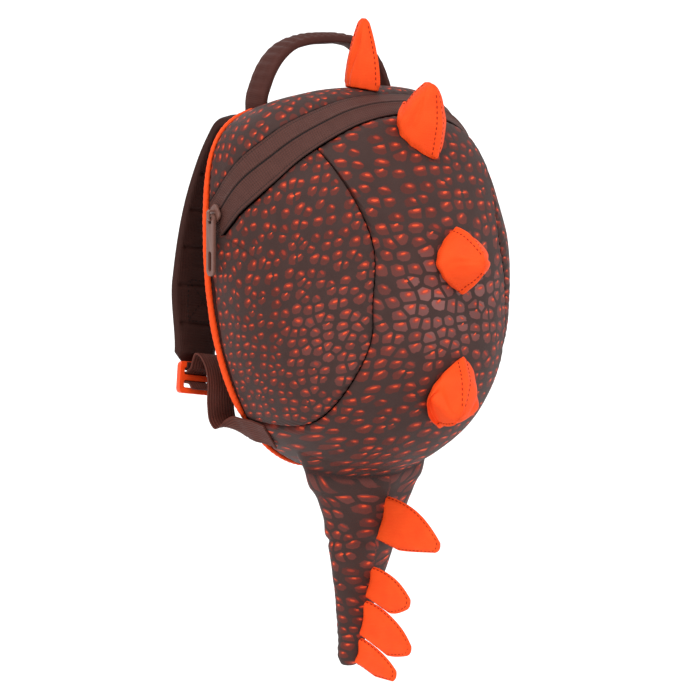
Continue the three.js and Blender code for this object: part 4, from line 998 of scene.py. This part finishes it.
def stitches(name, lines, finish, length=2.4, gap=1.0, radius=0.4):
    """Rows of thread: each line is points and the outward directions there, in millimetres."""
    bm = bmesh.new()
    for line, out in lines:
        covered = covered_to(line)
        for start in np.arange(gap, covered[-1] - length, length + gap):
            normal = Vector(read_at(start + length / 2, covered, out)).normalized()
            first, second = (Vector(read_at(end, covered, line)) for end in (start, start + length))
            way = (second - first).normalized()
            side_way = way.cross(normal).normalized()
            turned = Matrix((way, side_way, way.cross(side_way))).transposed().to_4x4()
            middle = (first + second) / 2 + Vector(SHIFT)
            size = Matrix.Diagonal((length / 2 * MM, radius * MM, radius * MM, 1))
            bmesh.ops.create_icosphere(
                bm, subdivisions=1, radius=1, matrix=Matrix.Translation(middle * MM) @ turned @ size
            )
    return mesh_object(name, bm, finish)


def thread(name, colour):
    """Dull polyester thread."""
    f = Finish(name)
    place = f.object_place()
    shade = f.mix(f.noise(place, 1500.0), colour, darker(colour, 0.7))
    return f.dress(shade, 0.7, Specular_IOR_Level=0.15)


orange_thread = thread("orange_thread", paint(158, 28, 5))

for number, (place, length, width, lean, aside, tall) in enumerate(SPIKES, 1):
    base = skin(180.0 if place < 0 else 0.0, abs(place))
    along = np.array((0, sin(radians(lean)), cos(radians(lean))))
    across = np.array(Matrix.Rotation(radians(-aside), 3, Vector(along)) @ Vector((1, 0, 0)))
    direction = np.cross(across, along)

    def lay_spike(u, v):
        """Places on the spike: u once round it, v from the middle of its foot to the rim and up."""
        sole, up = ramp(v, FOOT_SHARE), ramp(v - FOOT_SHARE, 1 - FOOT_SHARE)
        half_length, half_width = spike_at(up).T * SPIKE_FOOT / 2
        turn = u * 2 * pi
        c, s = squared(turn, SPIKE_SQUARENESS)
        tip = ramp(1 - up, 0.05) ** 0.5
        lip = np.exp(-((1 - np.abs(np.cos(turn))) / 0.012)) * ramp(up, 0.1)
        gather = 0.45 * np.sin(turn * 12 + number) * np.exp(-up / 0.14)
        gather += 0.5 * np.sin(turn * 4 + number * 2) * np.sin(up * 7 + number)
        a = (c * half_length * length * tip + np.sign(c) * SEAM_LIP * lip) * sole
        b = s * (half_width * width + gather * (up < 0.999)) * tip * sole
        rise = np.outer(up * tall * SPIKE_HEIGHT, direction)
        point = base + rise + np.outer(a, along) + np.outer(b, across)
        # The foot lies on the pouch, and the rest stands free of it.
        on_pouch = seated(point, direction, CLEARANCE * 1.5) + rise
        rest = eased(np.clip(1 - (up - 0.14) / 0.3, 0, 1))[:, None]
        point = on_pouch * rest + point * (1 - rest)
        puff = 0.6 * roughly(point, 14, number * 3.1) * ramp(up, 0.1) * tip
        valley = hump(np.cos(turn) - 0.35 * np.sin(up * 2.6 + number * 1.7), 0.2)
        puff -= 2.0 * valley * ramp(up, 0.3) * ramp(1 - up, 0.35)
        point = point + np.outer(s * puff, across) + np.outer(c * puff * (1 - lip), along)
        return point, {"cloth": (up * tall * SPIKE_HEIGHT, turn * 12)}

    spike = mesh_object("spike_cloth_%d" % number, laid_grid(144, 72, lay_spike), orange_finish)
    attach(spike, "bag")
    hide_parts("spike_%d" % number)
    rows = []
    for seam_at, seam_side in ((0.0, 1), (0.0, -1), (0.5, 1), (0.5, -1)):
        climb = np.linspace(*STITCHED, 60)
        points, _ = lay_spike(np.full(60, seam_at + seam_side * STITCH_ASIDE) % 1.0, climb)
        away = seam_side * (1 if seam_at == 0 else -1)
        rows.append((points, np.tile(across * away, (60, 1))))
    seam = stitches("spike_stitches_%d" % number, rows, orange_thread)
    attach(seam, "bag")


# Tail
# A stuffed, tapering tube of the printed cloth that hangs from the pouch's foot. A puckered seam closes it
# down its back, and the fins are caught in down its front. It creases where it bends.
TAIL_LENGTH, TAIL_WIDTH, TAIL_DEPTH, TAIL_SETBACK = 134.0, 78.0, 44.0, 44.0
TAIL_TUCK, TAIL_TOP, TOP_SHARE, END_SHARE = 0.8, -0.04, 0.08, 0.02
TAIL_BEND, TAIL_PUCKER_PITCH = 0.33, 5.5
# Sections of the tail: the share of its length, and the shares of its setback, width and depth there.
TAIL = np.array((
    (-0.06, 1.0, 1.7, 1.2),
    (0.04, 1.0, 1.18, 1.0),
    (0.14, 1.0, 0.98, 0.86),
    (0.34, 0.94, 0.77, 0.62),
    (0.48, 0.88, 0.62, 0.57),
    (0.63, 0.79, 0.43, 0.49),
    (0.85, 0.7, 0.25, 0.42),
    (0.97, 0.65, 0.2, 0.33),
    (1.0, 0.64, 0.13, 0.2),
))
tail_at = smooth_rows(TAIL[:, 0], TAIL[:, 1:])


def tail_surface(down, turn):
    """Where a turn round the tail, 0 at its right and a quarter at its back, is at a share of its length."""
    setback, width, depth = np.moveaxis(tail_at(down), -1, 0)
    c, s = squared(turn, 2.0)
    y = -setback * TAIL_SETBACK + s * depth * TAIL_DEPTH / 2
    return np.stack((c * width * TAIL_WIDTH / 2, y, -down * TAIL_LENGTH), -1)


def lay_tail(u, v):
    """Places on the tail: u once round it from its back, v from the middle of its top to its tip."""
    turn = (u + 0.25) * 2 * pi
    top, body, end = ramp(v, TOP_SHARE), ramp(v - TOP_SHARE, 0.9), ramp(1 - v, END_SHARE)
    down = TAIL_TOP + 1.04 * body
    point = tail_surface(down, turn)
    setback = tail_at(down)[:, 0]
    centre = np.stack((0 * u, -setback * TAIL_SETBACK, -down * TAIL_LENGTH), -1)
    point = centre + (point - centre) * (top * end**0.5)[:, None]
    # The top hugs the pouch's foot.
    rest = eased(np.clip(1 - (down - TAIL_TOP) / 0.075, 0, 1))[:, None]
    on_pouch = seated(point, np.array((0, 0, -1.0)), -TAIL_TUCK)
    point = on_pouch * rest + point * (1 - rest)
    out = unit((point - centre) * (1, 1, 0) + 1e-6)
    # It creases at its bend and at the seam with the pouch, and gathers below that seam.
    below_bend = down - TAIL_BEND - 0.018 * np.cos(turn)
    crease = -2.0 * hump(below_bend, 0.02) + 0.9 * hump(below_bend + 0.04, 0.04) - 1.1 * hump(down, 0.012)
    folds = 0.9 * np.sin(turn * 7 + 5 * down) * np.exp(-((down - TAIL_TOP) / 0.1))
    beside_seam = np.abs(((u + 0.5) % 1) - 0.5)
    seam_line = hump(beside_seam, 0.012)
    girth = tail_at(down)[:, 1] * TAIL_WIDTH * 1.3
    pucker = 0.4 * np.sin(2 * pi * down * TAIL_LENGTH / TAIL_PUCKER_PITCH)
    pucker *= np.exp(-beside_seam * girth * 2 / 7)
    lumps = 0.7 * roughly(point, 20, 4.4) + 0.3 * roughly(point, 9, 1.4)
    relief = (crease + folds + pucker - 1.3 * seam_line + lumps) * end * ramp(body, 0.03)
    columns = ((u + 0.5) % 1 - 0.5) * girth * 1.5 / (7.6 + 4.4 * (1 - body)) + 200
    columns += 0.4 * roughly(point, 20)
    rows = 200.45 - down * TAIL_LENGTH / (7.8 + 1.6 * (1 - body))
    # Above the seam with the pouch, the pouch's own print runs on.
    flare = down < 0
    front_columns, front_rows, front_pale = front_print(point)
    # Painted shade: darker down the back seam below the pouch, and in a band along the seam with the pouch.
    seam_line = np.where(flare, 0, seam_line * 0.8)
    pouch_seam_shade = hump(down * TAIL_LENGTH, 1.0)
    return point + out * relief[:, None], {
        "print": (np.where(flare, front_columns, columns), np.where(flare, front_rows, rows)),
        "zone": (np.where(flare, front_pale, 0.3 * (1 - body)), np.maximum(seam_line, pouch_seam_shade)),
        "cloth": (u * 120, down * TAIL_LENGTH),
    }


tail = mesh_object("tail_stuffed", laid_grid(180, 230, lay_tail), print_finish)
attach(tail, "bag")
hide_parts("tail")


# Tail fins
# Four flat flaps of doubled orange cloth with a thin wadding between, turned and top-stitched round their
# edges, and caught in down the tail's front.
FIN_REACH, FIN_THICKNESS, FIN_STITCH_INSET, FIN_TUCK = 47.0, 4.4, 2.6, 2.0
# For each fin, in shares of the tail's length: where its root starts and ends, and its tip; the tip's
# share of FIN_REACH; where its upper edge bows; and its lower corner, with that corner's share of it.
FINS = (
    (0.09, 0.32, 0.29, 1.0, 0.107, 0.352, 0.4),
    (0.466, 0.632, 0.61, 0.71, 0.48, 0.684, 0.44),
    (0.648, 0.832, 0.845, 0.87, 0.672, 0.905, 0.5),
    (0.848, 0.985, 0.995, 0.68, 0.885, 1.03, 0.4),
)


def bowed(start, handle_point, end, share):
    """Places along a curve from start to end that is drawn towards a third point."""
    share = share[:, None]
    return (1 - share) ** 2 * start + 2 * share * (1 - share) * handle_point + share**2 * end


def root(down):
    """How far forward the tail's front is, where the fins are caught in."""
    rows = tail_at(np.minimum(down, 1.0))
    return rows[..., 0] * TAIL_SETBACK + rows[..., 2] * TAIL_DEPTH / 2 + CLEARANCE + 0.3


def spot(down, out, origin):
    """A place of a fin, forward and up: a share of the tail down, and a reach out from its front."""
    return np.array((root(np.array(origin)) + out * FIN_REACH, -down * TAIL_LENGTH))


for number, (head, foot, tip, tip_out, bow, heel, heel_out) in enumerate(FINS, 1):
    tip_top, tip_end = spot(tip - 0.02, tip_out, head), spot(tip + 0.035, tip_out * 0.9, head)
    low_corner, root_end = spot(heel, heel_out, foot), spot(foot, 0, foot)
    edges = (
        (spot(head, 0, head), spot(bow, tip_out * 0.645, head), tip_top),
        (tip_top, spot(tip + 0.02, tip_out * 1.02, head), tip_end),
        (tip_end, spot(heel, heel_out * 1.3, foot), low_corner),
        (low_corner, spot(foot + (heel - foot) * 0.55, heel_out * 0.5, foot), root_end),
    )
    steps = np.linspace(0, 1, 40, endpoint=False)
    rim = np.concatenate([bowed(*edge, steps) for edge in edges] + [root_end[None]])
    rim_run = covered_to(rim)

    def lay_fin(u, v):
        """Places on the fin: u along its rim, v from its root over the rim and back on the other side."""
        edge = read_at(u * rim_run[-1], rim_run, rim)
        down = head + (foot - head) * u
        start = np.stack((root(down) - FIN_TUCK, -down * TAIL_LENGTH), -1)
        way = np.abs(v * 2 - 1) ** 1.5  # 0 at the rim, 1 at the root
        forward, height = (edge + (start - edge) * way[:, None]).T
        inset = way * np.linalg.norm(start - edge, axis=1)
        past_stitches = inset - FIN_STITCH_INSET
        full = 0.8 + (FIN_THICKNESS / 2 - 0.6) * (1 - np.exp(-np.maximum(past_stitches, 0) / 3.2))
        full = full - 0.25 * hump(past_stitches, 0.6)
        full = full * (ramp(inset, 0.7) * ramp(np.minimum(u, 1 - u) * rim_run[-1], 2.0)) ** 0.5
        full = full * ramp(1 - way, 0.03)
        hand = np.sign(v - 0.5)
        flat = np.stack((0 * u, -forward, height), -1)
        bend = 0.9 * roughly(flat, 24, number * 2.0) * ramp(3 * (1 - way))
        lumps = 0.3 * roughly(flat + np.outer(hand, (40, 0, 0)), 8, number) * ramp(inset, 4) * (1 - way)
        flat[:, 0] = hand * (full + lumps) + bend
        return flat, {"cloth": (forward, height)}

    fin = mesh_object("tail_fin_cloth_%d" % number, laid_grid(150, 48, lay_fin), orange_finish)
    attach(fin, "bag")
    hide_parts("tail_fin_%d" % number)
    rows = []
    for hand in (-1, 1):
        shares = np.linspace(0.03, 0.97, 200)
        edge = read_at(shares * rim_run[-1], rim_run, rim)
        down = head + (foot - head) * shares
        span = np.linalg.norm(np.stack((root(down), -down * TAIL_LENGTH), -1) - edge, axis=1)
        way = np.minimum(FIN_STITCH_INSET / np.maximum(span, FIN_STITCH_INSET + 0.1), 0.9) ** (1 / 1.5)
        points, _ = lay_fin(shares, 0.5 + hand * way / 2)
        rows.append((points, np.tile((hand, 0, 0), (200, 1))))
    seam = stitches("fin_stitches_%d" % number, rows, orange_thread)
    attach(seam, "bag")


# Shoulder straps
# Padded straps of dark brown cloth, bound at their edges and quilted across. Each is sewn flat to the top
# of the back panel, bows away from it, and narrows to a tongue that goes round the buckle's top bar.
STRAP_WIDTH, STRAP_THICKNESS, STRAP_HEIGHT, STRAP_STANDOFF = 48.0, 9.0, 158.0, 43.0
STRAP_OFFSET, STRAP_SPLAY, STRAP_MARGIN, STRAP_END = 50.0, 22.0, 10.0, 0.68
WEBBING_WIDTH, WEBBING_THICKNESS, WEBBING_BEARING = 22.0, 1.5, 153.0
LOCK_BAR, LOCK_SLOT, LOCK_THICKNESS = 4.0, 4.6, 3.4
STRAP_SQUARENESS, WIDE_SHARE, QUILT_PITCH, BINDING_WIDTH = 4, 0.72, 26.0, 5.5
BOX_SHARES, BOX_HALF = (0.64, 0.78), 0.62
# The strap's middle line from its head down: shares of STRAP_HEIGHT, STRAP_STANDOFF and STRAP_SPLAY.
STRAP_SPINE = (
    (0.035, 0.02, 0.0), (0.012, 0.16, 0.02), (0.025, 0.3, 0.05), (0.09, 0.47, 0.1), (0.19, 0.65, 0.18),
    (0.35, 0.85, 0.3), (0.52, 0.96, 0.44), (0.7, 1.0, 0.6), (0.86, 0.98, 0.8), (1.0, 0.92, 1.0),
)
strap_head = np.array((-STRAP_OFFSET, back_rear(1.0) + BACK_PANEL_CROWN / 2, handle_foot - STRAP_MARGIN))
strap_line = curve_points([
    strap_head + (-out * STRAP_SPLAY, back * STRAP_STANDOFF, -down * STRAP_HEIGHT)
    for down, back, out in STRAP_SPINE
])
LEVEL = np.array((1.0, 0.0, 0.0))
strap_tip, lock_down, _ = along_line(strap_line, np.array([1.0]))
strap_tip, lock_down = strap_tip[0], lock_down[0]
lock_across = unit(LEVEL - lock_down * LEVEL.dot(lock_down))
lock_out = np.cross(lock_down, lock_across)
lock_out = lock_out * np.sign(lock_out[1])
half_webbing = WEBBING_THICKNESS / 2
layer = LOCK_THICKNESS / 2 + CLEARANCE + half_webbing
lock_top = strap_tip + lock_down * (layer + STRAP_THICKNESS / 3) - lock_out * layer
bend_radius = CLEARANCE * 1.4 + half_webbing


def in_lock(down, out):
    """A place in the middle of the buckle's width: down from its top edge and out from its face."""
    return lock_top + lock_down * down + lock_out * out


def in_layer(down, out):
    """A stop of a band where it is one layer of webbing in the buckle."""
    return in_lock(down, out), lock_across, WEBBING_WIDTH, WEBBING_THICKNESS


def round_edge(edge, side, start):
    """Places, down and out of the buckle, of a webbing that goes round a bar's edge."""
    places = [
        (edge + side * bend_radius * along, start * way * (LOCK_THICKNESS / 2 + off * bend_radius))
        for along, way, off in ((0.38, 1, 0.92), (0.92, 1, 0.38), (0.92, -1, 0.38), (0.38, -1, 0.92))
    ]
    return places[:2] + [(edge + side * bend_radius, 0.0)] + places[2:]


def band(stops, columns, sides, power, relief, hand):
    """Lays a band through stops: place, direction of its width, breadth and depth. hand 1 mirrors it.
    Gives its grid, its length and the function that places it."""
    at, level, breadth, depth = (np.array(column, float) for column in zip(*stops))
    covered = covered_to(at)
    ahead = np.roll(at, -1, 0) - np.roll(at, 1, 0)
    ahead[0], ahead[-1] = at[1] - at[0], at[-1] - at[-2]
    ahead = unit(ahead)

    def lay(u, v):
        share, opened = capped(u, 0.008)
        run = share * covered[-1]
        middle, along, wide = (read_at(run, covered, rows) for rows in (at, ahead, level))
        along = unit(along)
        across = unit(wide - along * (wide * along).sum(-1, keepdims=True))
        through = np.cross(across, along)
        c, s = squared(v * 2 * pi, power)
        half_b, half_d = np.interp(run, covered, breadth) / 2, np.interp(run, covered, depth) / 2
        thick = half_d + relief(run, c, half_b, half_d)
        point = middle + across * (c * half_b * opened)[:, None] + through * (s * thick * opened)[:, None]
        return point * (1 if hand < 0 else -1, 1, 1), {"cloth": (run, c * half_b + s * half_d * 0.5)}

    return laid_grid(columns, sides, lay), covered[-1], lay


strap_stops = []
for share in np.linspace(0, 1, 90):
    at, _, _ = along_line(strap_line, np.array([share]))
    narrow = 1 + (STRAP_END - 1) * eased(ramp(share - WIDE_SHARE, 0.28))
    strap_stops.append((at[0], LEVEL, STRAP_WIDTH * narrow, STRAP_THICKNESS))
# It narrows to a tongue of one layer, which goes over the buckle's top bar and back under it.
neck = (in_lock(-layer * 0.75, layer), lock_across, WEBBING_WIDTH * 1.25, STRAP_THICKNESS * 0.3)
tongue = [(LOCK_BAR * 0.1, layer), (LOCK_BAR * 0.75, layer), *round_edge(LOCK_BAR, 1, 1)]
tongue += [(LOCK_BAR * 0.75, -layer), (LOCK_BAR * 0.1, -layer)]
strap_stops.append(neck)
strap_stops += [in_layer(down, out) for down, out in tongue]


def strap_relief(run, c, half_b, half_d):
    """Quilted rows across the padding and a bound edge, where the strap is thick."""
    thick = ramp(half_d - 1, 3.5)
    quilt = sum(hump(run - row * QUILT_PITCH, 1.6) for row in range(1, 7)) * (np.abs(c) < 0.86)
    binding = hump(np.abs(c) * half_b - half_b + BINDING_WIDTH, 0.9)
    fill = 0.7 * np.abs(np.cos(pi * (run - QUILT_PITCH) / QUILT_PITCH)) ** 0.5
    return thick * (-1.5 * quilt - 0.9 * binding + fill * (np.abs(c) < 0.8) - 0.3)


def boxed(lay, start, end):
    """A stitched box with a cross in it, on both faces, between two shares of the strap's length."""
    rows, half = [], BOX_HALF
    for face in (-1, 1):
        corners = [(start, -half), (start, half), (end, half), (end, -half), (start, -half), (end, half)]
        for path in (corners, [(start, half), (end, -half)]):
            share = np.concatenate([np.linspace(a[0], b[0], 30) for a, b in zip(path, path[1:])])
            across = np.concatenate([np.linspace(a[1], b[1], 30) for a, b in zip(path, path[1:])])
            points, _ = lay(share, np.arctan2(face, across) / (2 * pi) % 1)
            rows.append((points, np.tile((0, face, 0), (len(share), 1))))
    return rows


brown_thread = thread("brown_thread", paint(24, 11, 8))
strap_finish = woven("strap_cloth", paint(44, 18, 12), paint(56, 26, 19))
for side, hand in (("left", -1), ("right", 1)):
    mesh, _, lay_strap = band(strap_stops, 420, 56, STRAP_SQUARENESS, strap_relief, hand)
    strap = mesh_object("shoulder_strap_padded_" + side, mesh, strap_finish)
    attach(strap, "bag")
    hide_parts("shoulder_strap_" + side)
    box = stitches("strap_box_stitches_" + side, boxed(lay_strap, *BOX_SHARES), brown_thread)
    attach(box, "bag")


# Ladder locks
# Moulded buckles with two slots, in glossy orange acetal. The strap's tongue holds the top bar, and the
# webbing goes round the middle one.
LOCK_EDGE = 0.6


def moulded(name, low, high):
    """Glossy plastic with the fine grain of its mould."""
    f = Finish(name)
    place = f.object_place()
    colour = f.mix(f.noise(place, 60.0), low, high)
    return f.dress(colour, 0.38, f.noise(place, 1200.0, 1.0), 0.00005, 0.4)


plastic_finish = moulded("orange_plastic", paint(228, 58, 12), paint(242, 76, 22))
for side in ("left", "right"):
    lock = softened("ladder_lock_moulding_" + side, "ladder_lock_" + side, LOCK_EDGE, plastic_finish)
    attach(lock, "bag")
    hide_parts("ladder_lock_" + side)


# Webbing
# Flat ribbed webbing, sewn into the pouch's bottom corners. It comes out under the piping, rises behind
# the bag, turns over into the buckle, round its middle bar, and ends in a short free end.
RIB_PITCH, WEBBING_SQUARENESS = 2.2, 8


def corner(reach, lift):
    """A place over the pouch's bottom corner, with the webbing's underside that far off the skin."""
    place = (np.array(-WEBBING_BEARING), np.array(reach))
    return skin(*place) + outward(*place) * (lift + half_webbing)


corner_level = unit(skin(-WEBBING_BEARING - 3, 0.05) - skin(-WEBBING_BEARING + 3, 0.05))
under_cord = PIPING_RADIUS + CLEARANCE
mid_bar = LOCK_BAR + LOCK_SLOT
lock_length = 3 * LOCK_BAR + 2 * LOCK_SLOT
corner_rear = corner(0, under_cord)
corner_rear[1] = under_cord + 1
# Stops given one by one, each with how far the webbing is still turned as it is in its seam at the corner.
webbing_points = [
    (corner(0.12, CLEARANCE * 1.5), 1),
    (corner(0.065, CLEARANCE * 2.5), 1),
    (corner(0.02, under_cord), 1),
    (corner_rear, 0.94),
    (corner_rear + (-0.3, 4.6, -0.8), 0.66),
    (corner_rear + (-0.8, 9.2, -1.2), 0.25),
    (corner_rear + (-1.6, 13.6, 0.4), -0.15),
    (corner_rear + (-3.0, 15.6, 5.5), -0.4),
    (corner_rear + (-5.6, 14.4, 15.0), -0.3),
] + [(in_lock(down, -layer * out), 0) for down, out in (
    (lock_length * 0.7, 8.8), (lock_length * 0.2, 7.6),
    (-LOCK_BAR * 0.9, 5.2), (-LOCK_BAR * 1.2, 3.6), (LOCK_BAR * 1.1, 2.3),
)]
webbing_line = curve_points([at for at, _ in webbing_points])
stop_numbers = np.linspace(0, len(webbing_points) - 1, len(webbing_line))
roll = np.interp(stop_numbers, range(len(webbing_points)), [r for _, r in webbing_points])
webbing_stops = [
    (at, unit(lock_across * (1 - r) + corner_level * r), WEBBING_WIDTH, WEBBING_THICKNESS)
    for at, r in list(zip(webbing_line, roll))[::6] + [(webbing_line[-1], 0.0)]
]
# Round the middle bar: up over it, down its other side, and out to the free end.
bar_foot = mid_bar + LOCK_BAR
free_end = ((1.2, 1.5), (2.2, 2.3), (4.5, 3.1))
threaded = [*round_edge(mid_bar, -1, -1)[1:], (mid_bar + LOCK_BAR * 0.5, layer)]
threaded += round_edge(bar_foot, 1, 1)[:4]
threaded += [(bar_foot + bend_radius * down, -layer * out) for down, out in free_end]
webbing_stops += [in_layer(down, out) for down, out in threaded]


def webbing_relief(run, c, half_b, half_d):
    """Fine ribs along the webbing."""
    return 0.13 * np.cos(2 * pi * c * half_b / RIB_PITCH) - 0.1


webbing_finish = woven("webbing_weave", paint(78, 35, 26), paint(98, 50, 40), 1.4, 0.7, 0.0002, RIB_PITCH)
for side, hand in (("left", -1), ("right", 1)):
    mesh, webbing_length, _ = band(webbing_stops, 300, 72, WEBBING_SQUARENESS, webbing_relief, hand)
    webbing = mesh_object("webbing_ribbed_" + side, mesh, webbing_finish)
    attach(webbing, "bag")
    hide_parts("webbing_" + side)
    webbing_length * MM

bpy.context.view_layer.update()
